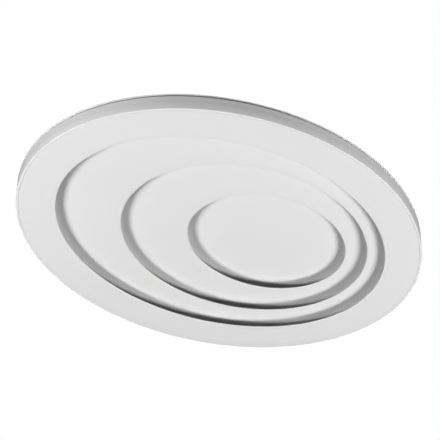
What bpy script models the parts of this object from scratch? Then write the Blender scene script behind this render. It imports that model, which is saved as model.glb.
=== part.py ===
"""Oval surface-mounted ceiling luminaire with a light diffuser of stacked, stepped plates.

Metres, +Z up. The ceiling is the plane z = 0, the luminaire hangs below it, and +X runs along
its long axis. A pressed steel pan carries the electronics and the LED boards. The cover, a rim
frame with the diffuser plates in it, is held by four spring catches and pulls straight down.
"""

import math

import bmesh
import bpy
import numpy as np
from mathutils import Matrix, Vector

# Driving dimensions
LENGTH = 0.720
WIDTH = 0.566
HEIGHT = 0.074
RIM_DEPTH = 0.0280
SEGMENTS = 64
GAP = 0.0003
FACET_SLACK = 0.0009

HALF_LENGTH = LENGTH / 2
HALF_WIDTH = WIDTH / 2
FACE_Z = -HEIGHT
RIM_TOP_Z = FACE_Z + RIM_DEPTH

# Stacked diffuser plates: each recess's lip is (centre along X, half length, half width)
RECESSES = ((0.001, 0.2960, 0.2197), (0.0455, 0.2212, 0.1748), (0.0900, 0.1436, 0.1132))
STEP_DEPTH = 0.0145
PLATE = 0.0020
LIP_EDGE = 0.0007
LIP_ROUND = 0.0004
LIP_TAPER = 0.0030
SKIRT_SETBACK = 0.0180
SKIRT_WALL = 0.0016
SKIRT_ROUND = 0.0015
FLANGE_REACH = 0.0024
EDGE_INSET = 0.0043

# Rim frame
RIM_WALL = 0.0020
BEAD_WIDTH = 0.0036
BEAD_HEIGHT = 0.0034

# Base pan
SHEET = 0.0010
PAN_FLANGE_Z = RIM_TOP_Z + 0.0028
PAN_WELL_INSET = 0.0660
PAN_WALL_FOOT_INSET = 0.0500
PAN_FOLD = 0.0016
KEYHOLES = ((-0.130, -0.076), (-0.130, 0.076), (0.130, -0.076), (0.130, 0.076))
KEYHOLE_HEAD_RADIUS = 0.0050
KEYHOLE_SLOT = (0.012, 0.005)
KEYHOLE_SLOT_SHIFT = 0.0080
HOLE_LOW_Z = -0.006
HOLE_HIGH_Z = 0.004
CABLE_HOLE = (0.000, 0.052)
CABLE_HOLE_RADIUS = 0.0100
EARTH_POINT = (-0.022, -0.050)
WELL_FLOOR_Z = -SHEET

# Spring catches, by angle round the oval
CATCH_ANGLES = (38, 142, 218, 322)
CATCH_WIDTH = 0.014
CATCH_SHEET = 0.0006
CATCH_BEND_INSET = 0.0110
CATCH_DROP = 0.0200
CATCH_FOOT_LENGTH = 0.016
CATCH_RIVET_BACK = 0.0080
CATCH_RIVET_HOLE_RADIUS = 0.0017

# Clips that hold the face plate down in the rim frame
CLIP_ANGLES = (0, 62, 118, 180, 242, 298)
CLIP_BACK = (0.0022, 0.016, 0.0100)
CLIP_TOE = (0.0060, 0.012, 0.0022)
CLIP_TOE_CENTRE = 0.0042

# LED boards
BOARD_THICKNESS = 0.0016
BOARD_WIDTH = 0.020
OUTER_RING = (0.0, 0.250, 0.175)
INNER_RING = (0.115, 0.072, 0.056)
BOARD_Z = WELL_FLOOR_Z - GAP
LENS_Z = BOARD_Z - BOARD_THICKNESS - GAP
LENS_FOOT = 0.0010
LENS_EDGE_GAP = 0.0010
LENS_RADIUS = 0.0072
LENS_TIP_RADIUS = 0.0042
LENS_HEIGHT = 0.0050
LINK_HEIGHT = 0.0042
LINKS = ((90, (0.0200, 0.0060)), (270, (0.0200, 0.0060)), (0, (0.0060, 0.0150)))

# Pan-head screws, driven upwards
SCREW_HOLE_RADIUS = 0.0018
SCREW_RADIUS = 0.0012
SCREW_TIP_Z = -0.0003
SCREW_POINT = 0.0005
SCREW_HEAD_RADIUS = 0.0030
SCREW_HEAD_HEIGHT = 0.0014
SCREW_HEAD_TAPER = 0.0004
SCREW_HEAD_CROWN = 0.0004

# Driver and terminal block
DRIVER_CENTRE = (-0.115, 0.0)
DRIVER_SIZE = (0.150, 0.046, 0.024)
DRIVER_WALL = 0.0016
DRIVER_EAR = (0.0120, 0.0140, 0.0020)
DRIVER_SLOT_DROP = 0.0140
DRIVER_LID = 0.0016
DRIVER_LID_PLUG = 0.0024
TERMINAL_CENTRE = (-0.004, 0.0)
TERMINAL_SIZE = (0.018, 0.036, 0.015)
POLE_PITCH = 0.0110
BUTTON_SIZE = (0.0060, 0.0060, 0.0060)
BUTTON_PROUD = 0.0020
BUTTON_TRAVEL = 0.0015
WIRE_ENTRY_RADIUS = 0.0016
WIRE_ENTRY_DROP = 0.0045

# Earth point, cable entry and leads
GROMMET_BORE_RADIUS = 0.0060
GROMMET_FLANGE = 0.0030
EARTH_HEAD_RADIUS = 0.0032
WASHER_RADIUS = 0.0050
WASHER_TOP_Z = -0.0028
WASHER_LOW_Z = -0.0036
LEAD_RADIUS = 0.0010
TWIN_LEAD_RADIUS = 0.0013

for old in list(bpy.data.objects):
    bpy.data.objects.remove(old, do_unlink=True)

PARTS = bpy.data.collections.new("oval_ceiling_luminaire")
CUTTERS = bpy.data.collections.new("cutters")
bpy.context.scene.collection.children.link(PARTS)
bpy.context.scene.collection.children.link(CUTTERS)


def principled(name, colour, roughness, metallic=0.0):
    """A Principled material of one colour."""
    made = bpy.data.materials.new(name)
    made.use_nodes = True
    shader = made.node_tree.nodes["Principled BSDF"]
    shader.inputs["Base Color"].default_value = (*colour, 1.0)
    shader.inputs["Roughness"].default_value = roughness
    shader.inputs["Metallic"].default_value = metallic
    return made


OPAL = principled("opal_diffuser", (0.84, 0.84, 0.84), 0.45)
WHITE_PAINT = principled("white_paint", (0.80, 0.80, 0.80), 0.40)
PAN_PAINT = principled("pan_paint", (0.78, 0.78, 0.77), 0.50)
SPRING_STEEL = principled("spring_steel", (0.56, 0.57, 0.58), 0.30, 1.0)
ZINC_STEEL = principled("zinc_steel", (0.62, 0.63, 0.65), 0.35, 1.0)
BRASS = principled("brass", (0.72, 0.55, 0.26), 0.35, 1.0)
RUBBER = principled("rubber", (0.03, 0.03, 0.03), 0.80)
FOAM = principled("foam", (0.06, 0.06, 0.06), 0.95)
NYLON = principled("nylon", (0.86, 0.86, 0.83), 0.50)
DRIVER_PLASTIC = principled("driver_plastic", (0.82, 0.82, 0.80), 0.55)
BUTTON_PLASTIC = principled("button_plastic", (0.85, 0.38, 0.08), 0.45)
BOARD_MASK = principled("board_mask", (0.86, 0.87, 0.87), 0.35)
CIRCUIT_BOARD = principled("circuit_board", (0.10, 0.30, 0.16), 0.45)
CLEAR_LENS = principled("clear_lens", (0.90, 0.92, 0.93), 0.12)
BROWN_LEAD = principled("brown_lead", (0.22, 0.09, 0.04), 0.45)
BLUE_LEAD = principled("blue_lead", (0.05, 0.15, 0.50), 0.45)
GREEN_LEAD = principled("green_yellow_lead", (0.35, 0.55, 0.08), 0.45)
GREY_LEAD = principled("grey_lead", (0.40, 0.40, 0.41), 0.45)


def add(name, mesh, material, collection=PARTS):
    """An object holding the mesh, in a collection, with one material and smooth round sides."""
    made = bpy.data.objects.new(name, mesh)
    collection.objects.link(made)
    if not mesh.materials:
        mesh.materials.append(material)
    mesh.shade_smooth()
    mesh.set_sharp_from_angle(angle=math.radians(35))
    if collection is CUTTERS:
        made.hide_render = True
        made.display_type = "WIRE"
    return made


def mesh_of(name, shape):
    """The bmesh as a mesh, with every face turned outwards."""
    bmesh.ops.recalc_face_normals(shape, faces=shape.faces)
    mesh = bpy.data.meshes.new(name)
    shape.to_mesh(mesh)
    shape.free()
    return mesh


def oval(centre_x, half_length, half_width, z, count=SEGMENTS):
    """Points of an ellipse lying flat at height z."""
    turn = np.arange(count) * 2 * math.pi / count
    x = centre_x + half_length * np.cos(turn)
    y = half_width * np.sin(turn)
    return np.column_stack([x, y, np.full(count, z)])


def outline(inset, z):
    """The luminaire's own outline, moved in by inset, at height z."""
    return oval(0.0, HALF_LENGTH - inset, HALF_WIDTH - inset, z)


def loft(name, rings, joined=False, caps=(True, True)):
    """A skin through the rings in order: joined end to end, or capped on its first and last ring."""
    shape = bmesh.new()
    rows = [[shape.verts.new(point) for point in ring] for ring in rings]
    pairs = list(zip(rows, rows[1:]))
    if joined:
        pairs.append((rows[-1], rows[0]))
    for low, high in pairs:
        for i in range(len(low)):
            j = (i + 1) % len(low)
            shape.faces.new((low[i], low[j], high[j], high[i]))
    if not joined and caps[0]:
        shape.faces.new(rows[0])
    if not joined and caps[1]:
        shape.faces.new(rows[-1])
    return mesh_of(name, shape)


def box_mesh(name, size, centre=(0.0, 0.0, 0.0), bevel=0.0):
    """A box, with its edges rounded off when bevel is given."""
    shape = bmesh.new()
    bmesh.ops.create_cube(shape, size=1.0)
    bmesh.ops.scale(shape, vec=size, verts=shape.verts)
    if bevel:
        bmesh.ops.bevel(shape, geom=shape.edges[:], offset=bevel, segments=1, affect="EDGES")
    bmesh.ops.translate(shape, vec=centre, verts=shape.verts)
    return mesh_of(name, shape)


def cylinders_mesh(name, radius, low, high, places, top_radius=None, count=12):
    """Equal cylinders or cones standing along Z at several places, in one mesh."""
    shape = bmesh.new()
    upper = radius if top_radius is None else top_radius
    sizes = {"segments": count, "radius1": radius, "radius2": upper, "depth": high - low}
    for x, y in places:
        place = Matrix.Translation((x, y, (low + high) / 2))
        bmesh.ops.create_cone(shape, cap_ends=True, matrix=place, **sizes)
    return mesh_of(name, shape)


def add_turned(name, profile, material, place, steps=16, ring=False):
    """A piece turned round Z from (radius, height) points; a ring's profile is a loop clear of the axis."""
    count = len(profile)
    edges = [(i, (i + 1) % count) for i in range(count if ring else count - 1)]
    mesh = bpy.data.meshes.new(name)
    mesh.from_pydata([(radius, 0.0, height) for radius, height in profile], edges, [])
    mesh.materials.append(material)
    made = bpy.data.objects.new(name, mesh)
    PARTS.objects.link(made)
    made.location = place
    spin = made.modifiers.new("turn", "SCREW")
    spin.steps = steps
    spin.render_steps = steps
    spin.use_merge_vertices = True
    spin.merge_threshold = 0.00001
    spin.use_smooth_shade = True


def add_screw(name, spot, seat_z, material, head_radius=SCREW_HEAD_RADIUS):
    """A pan-head screw standing point up, the flat side of its head at seat_z."""
    head_z = seat_z - SCREW_HEAD_HEIGHT
    profile = (
        (0.0, SCREW_TIP_Z),
        (SCREW_RADIUS, SCREW_TIP_Z - SCREW_POINT),
        (SCREW_RADIUS, seat_z),
        (head_radius, seat_z),
        (head_radius - SCREW_HEAD_TAPER, head_z),
        (0.0, head_z - SCREW_HEAD_CROWN),
    )
    add_turned(name, profile, material, (*spot, 0.0), 12)


def cut(target, cutter, operation="DIFFERENCE"):
    """Cuts or joins a helper into the target with an exact Boolean."""
    change = target.modifiers.new(cutter.name, "BOOLEAN")
    change.operation = operation
    change.object = cutter


def mesh_from_curve(name, curve_object):
    """The curve's own surface as a welded mesh; the curve is removed."""
    bpy.context.view_layer.update()
    seen = curve_object.evaluated_get(bpy.context.evaluated_depsgraph_get())
    made = bpy.data.meshes.new_from_object(seen)
    made.name = name
    shape = bmesh.new()
    shape.from_mesh(made)
    shape.transform(curve_object.matrix_world)
    bmesh.ops.remove_doubles(shape, verts=shape.verts, dist=0.000001)
    bmesh.ops.recalc_face_normals(shape, faces=shape.faces)
    shape.to_mesh(made)
    shape.free()
    bpy.data.objects.remove(curve_object, do_unlink=True)
    return made


def plate_mesh(name, outlines, low, high):
    """A flat plate between two heights, from closed outlines; an outline inside another is a hole."""
    curve = bpy.data.curves.new(name, "CURVE")
    curve.dimensions = "2D"
    curve.fill_mode = "BOTH"
    curve.extrude = (high - low) / 2
    for points in outlines:
        spline = curve.splines.new("POLY")
        spline.points.add(len(points) - 1)
        for point, (x, y) in zip(spline.points, points):
            point.co = (x, y, 0.0, 1.0)
        spline.use_cyclic_u = True
    made = bpy.data.objects.new(name, curve)
    made.location = (0.0, 0.0, (low + high) / 2)
    PARTS.objects.link(made)
    return mesh_from_curve(name, made)


def smooth_route(points, count):
    """Evenly numbered points along a Catmull-Rom curve through the route's own points."""
    points = np.array(points)
    knots = np.vstack([2 * points[0] - points[1], points, 2 * points[-1] - points[-2]])
    out = []
    for place in np.linspace(0.0, len(points) - 1 - 1e-9, count):
        i = int(place)
        t = place - i
        p0, p1, p2, p3 = knots[i : i + 4]
        bend = (2 * p0 - 5 * p1 + 4 * p2 - p3) * t**2
        twist = (3 * p1 - p0 - 3 * p2 + p3) * t**3
        out.append(0.5 * (2 * p1 + (p2 - p0) * t + bend + twist))
    return out


def lead(name, route, material, radius=LEAD_RADIUS, count=13):
    """An insulated wire along a smooth route."""
    curve = bpy.data.curves.new(name, "CURVE")
    curve.dimensions = "3D"
    curve.bevel_depth = radius
    curve.bevel_resolution = 2
    curve.use_fill_caps = True
    spline = curve.splines.new("POLY")
    spline.points.add(count - 1)
    for point, place in zip(spline.points, smooth_route(route, count)):
        point.co = (*place, 1.0)
    curve.materials.append(material)
    made = bpy.data.objects.new(name, curve)
    PARTS.objects.link(made)
    return made


def rim_point(degrees, inset, z):
    """A point on the outline at an angle, its outward direction, and the turn that faces it."""
    turn = math.radians(degrees)
    out = Vector((math.cos(turn) / HALF_LENGTH, math.sin(turn) / HALF_WIDTH, 0.0)).normalized()
    edge = Vector((HALF_LENGTH * math.cos(turn), HALF_WIDTH * math.sin(turn), z))
    return edge - out * inset, math.atan2(out.y, out.x)


def ring_arc(ring, inset, start, end, count):
    """(x, y) points along an oval ring, moved in by inset, between two angles in degrees."""
    centre_x, half_length, half_width = ring
    turn = np.radians(np.linspace(start, end, count))
    x = centre_x + (half_length - inset) * np.cos(turn)
    y = (half_width - inset) * np.sin(turn)
    return list(zip(x, y))


def around_lip(number, outward, z):
    """A recess's lip, moved outward (or inward when negative), at height z."""
    centre_x, half_length, half_width = RECESSES[number]
    return oval(centre_x, half_length + outward, half_width + outward, z)


def lip_rings(number, z):
    """The edge of the opening in the plate whose face is at z: a rounded corner and a tapered back."""
    return [
        around_lip(number, LIP_ROUND, z),
        around_lip(number, 0.0, z + LIP_ROUND),
        around_lip(number, 0.0, z + LIP_EDGE),
        around_lip(number, LIP_TAPER, z + PLATE),
    ]


def make_face_plate():
    """The widest plate: its upturned edge ends in a flange that rests on the rim frame's ledge."""
    ledge = FACE_Z + BEAD_HEIGHT + GAP
    edge = [
        outline(EDGE_INSET + PLATE, FACE_Z + PLATE),
        outline(EDGE_INSET + PLATE, ledge + PLATE),
        outline(FLANGE_REACH, ledge + PLATE),
        outline(FLANGE_REACH, ledge),
        outline(EDGE_INSET, ledge),
        outline(EDGE_INSET, FACE_Z + 0.0008),
        outline(EDGE_INSET + 0.0008, FACE_Z),
    ]
    add("face_plate", loft("face_plate", lip_rings(0, FACE_Z) + edge, joined=True), OPAL)


def make_step_plates():
    """Three trays, each bonded by its skirt to the back of the plate before it, around its opening."""
    names = ("outer_step_plate", "middle_step_plate", "centre_plate")
    for number, name in enumerate(names):
        foot = FACE_Z + number * STEP_DEPTH + PLATE + GAP
        face = FACE_Z + (number + 1) * STEP_DEPTH
        inner, outer = SKIRT_SETBACK, SKIRT_SETBACK + SKIRT_WALL
        skirt = [
            around_lip(number, inner - SKIRT_ROUND, face),
            around_lip(number, inner, face - SKIRT_ROUND),
            around_lip(number, inner, foot),
            around_lip(number, outer, foot),
            around_lip(number, outer, face + PLATE - SKIRT_ROUND),
            around_lip(number, outer - SKIRT_ROUND, face + PLATE),
        ]
        if number + 1 < len(RECESSES):
            mesh = loft(name, skirt + lip_rings(number + 1, face)[::-1], joined=True)
        else:
            mesh = loft(name, skirt)
        add(name, mesh, OPAL)


def make_rim_frame():
    """Side wall with a rounded bead below; the bead's top is the ledge that the diffuser rests on."""
    section = (
        (0.0000, RIM_TOP_Z),
        (0.0000, FACE_Z + 0.0020),
        (0.0005, FACE_Z + 0.0006),
        (0.0018, FACE_Z),
        (0.0031, FACE_Z + 0.0006),
        (BEAD_WIDTH, FACE_Z + 0.0018),
        (BEAD_WIDTH, FACE_Z + BEAD_HEIGHT),
        (RIM_WALL, FACE_Z + BEAD_HEIGHT),
        (RIM_WALL, RIM_TOP_Z),
    )
    rings = [outline(inset, z) for inset, z in section]
    add("rim_frame", loft("rim_frame", rings, joined=True), WHITE_PAINT)


def make_diffuser_clips():
    """Moulded tabs on the rim's wall, each reaching in over the face plate's flange."""
    foot = FACE_Z + BEAD_HEIGHT + PLATE + 2 * GAP
    wall = RIM_WALL + FACET_SLACK
    back_centre = (-wall - CLIP_BACK[0] / 2, 0.0, foot + CLIP_BACK[2] / 2)
    toe_centre = (-wall - CLIP_TOE_CENTRE, 0.0, foot + CLIP_TOE[2] / 2)
    back = box_mesh("diffuser_clip", CLIP_BACK, back_centre, 0.0004)
    toe = box_mesh("clip_toe", CLIP_TOE, toe_centre, 0.0004)
    for number, degrees in enumerate(CLIP_ANGLES, 1):
        place, turn = rim_point(degrees, 0.0, 0.0)
        clip = add(f"diffuser_clip_{number}", back.copy(), NYLON)
        helper = add(f"clip_toe_{number}", toe.copy(), NYLON, CUTTERS)
        for made in (clip, helper):
            made.location = place
            made.rotation_euler.z = turn
        cut(clip, helper, "UNION")


def catch_rivet_places():
    """One rivet behind the bend of each catch."""
    inset = CATCH_BEND_INSET + CATCH_RIVET_BACK
    return [rim_point(degrees, inset, 0.0)[0].to_2d() for degrees in CATCH_ANGLES]


def pan_holes():
    """Helpers for every hole in the pan: screws, earth, cable, rivets and keyholes."""
    low, high = HOLE_LOW_Z, HOLE_HIGH_Z
    screws = [*board_screw_places(), *driver_screw_places(), EARTH_POINT]
    yield cylinders_mesh("screw_holes", SCREW_HOLE_RADIUS, low, high, screws)
    yield cylinders_mesh("cable_hole", CABLE_HOLE_RADIUS, low, high, [CABLE_HOLE], count=24)
    yield cylinders_mesh("keyhole_heads", KEYHOLE_HEAD_RADIUS, low, high, KEYHOLES, count=16)
    flange_low, flange_high = PAN_FLANGE_Z + low, PAN_FLANGE_Z + high
    rivets = catch_rivet_places()
    yield cylinders_mesh("rivet_holes", CATCH_RIVET_HOLE_RADIUS, flange_low, flange_high, rivets)
    for number, (x, y) in enumerate(KEYHOLES):
        size = (*KEYHOLE_SLOT, high - low)
        yield box_mesh(f"keyhole_slot_{number}", size, (x + KEYHOLE_SLOT_SHIFT, y, (low + high) / 2))


def make_base_pan():
    """Pressed sheet: a flat-backed well, sloped walls, a flange and a folded edge."""
    section = (
        (SHEET, PAN_FLANGE_Z + PAN_FOLD),
        (SHEET, PAN_FLANGE_Z),
        (PAN_WALL_FOOT_INSET, PAN_FLANGE_Z),
        (PAN_WELL_INSET - 0.0020, -0.0020),
        (PAN_WELL_INSET, 0.0),
    )
    rings = [outline(inset, z) for inset, z in section]
    mesh = loft("base_pan", rings, caps=(False, True))
    pan = add("base_pan", mesh, PAN_PAINT)
    if mesh.polygons[-1].normal.z < 0:
        mesh.flip_normals()
    shell = pan.modifiers.new("sheet", "SOLIDIFY")
    shell.thickness = SHEET
    shell.offset = -1.0
    shell.use_even_offset = True
    for hole in pan_holes():
        cut(pan, add(hole.name, hole, PAN_PAINT, CUTTERS))


def make_light_seal():
    """Foam strip between the pan's flange and the top of the rim."""
    top = PAN_FLANGE_Z - SHEET - GAP
    low = RIM_TOP_Z + GAP
    rings = [outline(inset, z) for inset, z in ((0.0008, top), (0.0008, low), (0.0042, low), (0.0042, top))]
    add("light_seal", loft("light_seal", rings, joined=True), FOAM)


def make_catch_leaf():
    """The middle surface of a catch's leaf, from its bend down past its nose."""
    reach = CATCH_BEND_INSET - RIM_WALL - FACET_SLACK - CATCH_SHEET
    path = ((0.0, -CATCH_SHEET), (reach * 0.45, -0.0060), (reach, -0.0125), (reach * 0.5, -CATCH_DROP))
    shape = bmesh.new()
    left = [shape.verts.new((x, -CATCH_WIDTH / 2, z)) for x, z in path]
    right = [shape.verts.new((x, CATCH_WIDTH / 2, z)) for x, z in path]
    for i in range(len(path) - 1):
        shape.faces.new((left[i], left[i + 1], right[i + 1], right[i]))
    leaf = bpy.data.meshes.new("catch_leaf")
    shape.to_mesh(leaf)
    shape.free()
    return leaf


def make_catches():
    """Spring catches: a foot riveted under the flange and a leaf whose nose stands by the rim's wall."""
    top = PAN_FLANGE_Z - SHEET - GAP
    foot_centre = (-CATCH_FOOT_LENGTH / 2 - GAP, 0.0, -CATCH_SHEET / 2)
    foot = box_mesh("catch_foot", (CATCH_FOOT_LENGTH, CATCH_WIDTH, CATCH_SHEET), foot_centre)
    leaf = make_catch_leaf()
    rivet = (
        (0.0, 0.0021),
        (0.0024, 0.0016),
        (0.0024, 0.0013),
        (0.0014, 0.0013),
        (0.0014, -0.0011),
        (0.0026, -0.0011),
        (0.0022, -0.0018),
        (0.0, -0.0020),
    )
    rivet_place = [(-CATCH_RIVET_BACK, 0.0)]
    hole = cylinders_mesh("catch_foot_hole", CATCH_RIVET_HOLE_RADIUS, HOLE_LOW_Z, HOLE_HIGH_Z, rivet_place)
    for number, degrees in enumerate(CATCH_ANGLES, 1):
        place, turn = rim_point(degrees, CATCH_BEND_INSET, top)
        fixed = add(f"catch_foot_{number}", foot.copy(), SPRING_STEEL)
        hole_helper = add(f"catch_foot_hole_{number}", hole.copy(), SPRING_STEEL, CUTTERS)
        moving = add(f"catch_leaf_{number}", leaf.copy(), SPRING_STEEL)
        for made in (fixed, hole_helper, moving):
            made.location = place
            made.rotation_euler.z = turn
        cut(fixed, hole_helper)
        sheet = moving.modifiers.new("sheet", "SOLIDIFY")
        sheet.thickness = CATCH_SHEET
        sheet.offset = 0.0
    for number, spot in enumerate(catch_rivet_places(), 1):
        add_turned(f"catch_rivet_{number}", rivet, ZINC_STEEL, (*spot, PAN_FLANGE_Z - SHEET), 10)


def board_arcs():
    """(start, end) angles of the four outer boards."""
    return [(quarter * 90 + 4, quarter * 90 + 86) for quarter in range(4)]


def board_screw_places():
    """One screw in the middle of each outer board, and one on the inner board."""
    places = [ring_arc(OUTER_RING, 0.0, quarter * 90 + 45, quarter * 90 + 45, 1)[0] for quarter in range(4)]
    return places + [ring_arc(INNER_RING, 0.0, 90, 90, 1)[0]]


def lens_places(number):
    """Centres of a board's lenses: eight on an outer board's arc, seven on the inner ring."""
    if number < 4:
        start, end = board_arcs()[number]
        return ring_arc(OUTER_RING, 0.0, start + 5, end - 5, 8)
    return ring_arc(INNER_RING, 0.0, 90 + 45, 90 + 315, 7)


def board_outlines(number, side_gap):
    """Outline of a board: an arc of the outer ring, or the whole inner ring with its hole."""
    half = BOARD_WIDTH / 2 - side_gap
    if number < 4:
        start, end = board_arcs()[number]
        outer = ring_arc(OUTER_RING, -half, start, end, 16)
        inner = ring_arc(OUTER_RING, half, start, end, 16)
        return [outer + inner[::-1]]
    return [ring_arc(INNER_RING, side, 0, 360, 33)[:-1] for side in (-half, half)]


def make_led_boards():
    """White boards on the pan's floor, each under a clear strip of moulded lenses."""
    foot_z = LENS_Z - LENS_FOOT
    for number, spot in enumerate(board_screw_places()):
        board_mesh = plate_mesh("led_board", board_outlines(number, 0.0), BOARD_Z - BOARD_THICKNESS, BOARD_Z)
        board = add(f"led_board_{number + 1}", board_mesh, BOARD_MASK)
        strip_mesh = plate_mesh("lens_strip", board_outlines(number, LENS_EDGE_GAP), foot_z, LENS_Z)
        strip = add(f"lens_strip_{number + 1}", strip_mesh, CLEAR_LENS)
        low, high = foot_z - LENS_HEIGHT, LENS_Z - LENS_FOOT / 2
        domes = cylinders_mesh("lenses", LENS_TIP_RADIUS, low, high, lens_places(number), LENS_RADIUS)
        cut(strip, add(f"lenses_{number + 1}", domes, CLEAR_LENS, CUTTERS), "UNION")
        hole = cylinders_mesh("board_hole", SCREW_HOLE_RADIUS, foot_z - LENS_HEIGHT, HOLE_HIGH_Z, [spot])
        helper = add(f"board_hole_{number + 1}", hole, BOARD_MASK, CUTTERS)
        cut(board, helper)
        cut(strip, helper)
        add_screw(f"board_screw_{number + 1}", spot, foot_z - GAP, ZINC_STEEL)


def make_board_links():
    """Bridge connectors that carry the supply from one outer board to the next."""
    for number, (degrees, size) in enumerate(LINKS, 1):
        x, y = ring_arc(OUTER_RING, 0.0, degrees, degrees, 1)[0]
        mesh = box_mesh("board_link", (*size, LINK_HEIGHT), bevel=0.0004)
        link = add(f"board_link_{number}", mesh, NYLON)
        link.location = (x, y, LENS_Z - LINK_HEIGHT / 2)


def driver_screw_places():
    """The driver's two fixing screws, through ears at its ends."""
    x, y = DRIVER_CENTRE
    reach = DRIVER_SIZE[0] / 2 + DRIVER_EAR[0] / 2
    return [(x - reach, y), (x + reach, y)]


def make_driver_case(top):
    """The driver's case, open below, with an ear and a lead slot at each end."""
    length, width, height = DRIVER_SIZE
    x, y = DRIVER_CENTRE
    ear_length, ear_width, ear_height = DRIVER_EAR
    middle = top - height / 2
    case = add("driver_case", box_mesh("driver_case", DRIVER_SIZE, (x, y, middle)), DRIVER_PLASTIC)
    ears_size = (length + 2 * ear_length, ear_width, ear_height)
    ears = box_mesh("driver_ears", ears_size, (x, y, top - ear_height / 2))
    cut(case, add("driver_ears", ears, DRIVER_PLASTIC, CUTTERS), "UNION")
    inside = (length - 2 * DRIVER_WALL, width - 2 * DRIVER_WALL, height)
    slots_size = (length + 2 * DRIVER_WALL, 0.0240, 0.0040)
    screws = driver_screw_places()
    hollows = (
        box_mesh("driver_hollow", inside, (x, y, middle - DRIVER_WALL)),
        box_mesh("driver_slots", slots_size, (x, y, top - DRIVER_SLOT_DROP)),
        cylinders_mesh("driver_holes", SCREW_HOLE_RADIUS, 2 * HOLE_LOW_Z, HOLE_HIGH_Z, screws),
    )
    for hollow in hollows:
        cut(case, add(hollow.name, hollow, DRIVER_PLASTIC, CUTTERS))


def make_driver_lid(top):
    """The lid under the case, with a plug that locates inside the case's walls."""
    length, width, _ = DRIVER_SIZE
    x, y = DRIVER_CENTRE
    lid_mesh = box_mesh("driver_lid", (length, width, DRIVER_LID), (x, y, top - DRIVER_LID / 2), 0.0004)
    lid = add("driver_lid", lid_mesh, DRIVER_PLASTIC)
    less = 2 * (DRIVER_WALL + GAP)
    plug_centre = (x, y, top + DRIVER_LID_PLUG / 2 - 0.0002)
    plug = box_mesh("lid_plug", (length - less, width - less, DRIVER_LID_PLUG), plug_centre)
    cut(lid, add("lid_plug", plug, DRIVER_PLASTIC, CUTTERS), "UNION")


def make_driver_board(top):
    """The driver's circuit board and its parts: transformer, coil, heat sink and capacitors."""
    length, width, _ = DRIVER_SIZE
    x, y = DRIVER_CENTRE
    size = (length - 0.0080, width - 0.0060, BOARD_THICKNESS)
    board_mesh = box_mesh("driver_board", size, (x, y, top - BOARD_THICKNESS / 2))
    board = add("driver_board", board_mesh, CIRCUIT_BOARD)
    seat = top - BOARD_THICKNESS + 0.0006
    blocks = (
        ("transformer", (0.026, 0.024, 0.0150), (x + 0.006, y)),
        ("filter_coil", (0.014, 0.014, 0.0100), (x - 0.046, y + 0.008)),
        ("heat_sink", (0.004, 0.030, 0.0120), (x + 0.034, y)),
    )
    for name, block_size, spot in blocks:
        mesh = box_mesh(name, block_size, (*spot, seat - block_size[2] / 2), 0.0006)
        cut(board, add(name, mesh, CIRCUIT_BOARD, CUTTERS), "UNION")
    cans = [(x - 0.026, y - 0.007), (x - 0.026, y + 0.007)]
    can_mesh = cylinders_mesh("capacitors", 0.0055, seat - 0.0160, seat, cans)
    cut(board, add("capacitors", can_mesh, CIRCUIT_BOARD, CUTTERS), "UNION")


def make_driver():
    """LED driver: a case with ears, its circuit board, its lid and two fixing screws."""
    top = WELL_FLOOR_Z - GAP
    make_driver_case(top)
    make_driver_board(top - DRIVER_WALL - GAP)
    make_driver_lid(top - DRIVER_SIZE[2] - GAP)
    for number, spot in enumerate(driver_screw_places(), 1):
        add_screw(f"driver_screw_{number}", spot, top - DRIVER_EAR[2] - GAP, ZINC_STEEL)


def pole_places():
    """Centres of the terminal block's three poles, live, neutral and earth."""
    x, y = TERMINAL_CENTRE
    return {"live": (x, y + POLE_PITCH), "neutral": (x, y), "earth": (x, y - POLE_PITCH)}


def wire_entry_mesh(name, centre):
    """A round wire entry lying along X."""
    shape = bmesh.new()
    place = Matrix.Translation(centre) @ Matrix.Rotation(math.pi / 2, 4, "Y")
    sizes = {"segments": 12, "radius1": WIRE_ENTRY_RADIUS, "radius2": WIRE_ENTRY_RADIUS, "depth": 0.0120}
    bmesh.ops.create_cone(shape, cap_ends=True, matrix=place, **sizes)
    return mesh_of(name, shape)


def make_terminal():
    """Push-in terminal block with a sprung release button for each pole."""
    length, _, height = TERMINAL_SIZE
    x, y = TERMINAL_CENTRE
    top = WELL_FLOOR_Z - GAP
    low = top - height
    block_mesh = box_mesh("terminal_block", TERMINAL_SIZE, (x, y, top - height / 2), 0.0006)
    block = add("terminal_block", block_mesh, NYLON)
    button_length, button_width, button_height = BUTTON_SIZE
    pocket_depth = button_height - BUTTON_PROUD + BUTTON_TRAVEL + GAP
    pocket_size = (button_length + 2 * GAP, button_width + 2 * GAP, 2 * pocket_depth)
    for pole, (pole_x, pole_y) in pole_places().items():
        pocket = box_mesh("pocket", pocket_size, (pole_x, pole_y, low))
        cut(block, add(f"{pole}_pocket", pocket, NYLON, CUTTERS))
        for end, side in (("driver", -1), ("supply", 1)):
            entry = wire_entry_mesh("entry", (pole_x + side * length / 2, pole_y, top - WIRE_ENTRY_DROP))
            cut(block, add(f"{pole}_entry_{end}", entry, NYLON, CUTTERS))
        button = add(f"{pole}_button", box_mesh("button", BUTTON_SIZE, bevel=0.0005), BUTTON_PLASTIC)
        button.location = (pole_x, pole_y, low - BUTTON_PROUD + button_height / 2)


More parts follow.
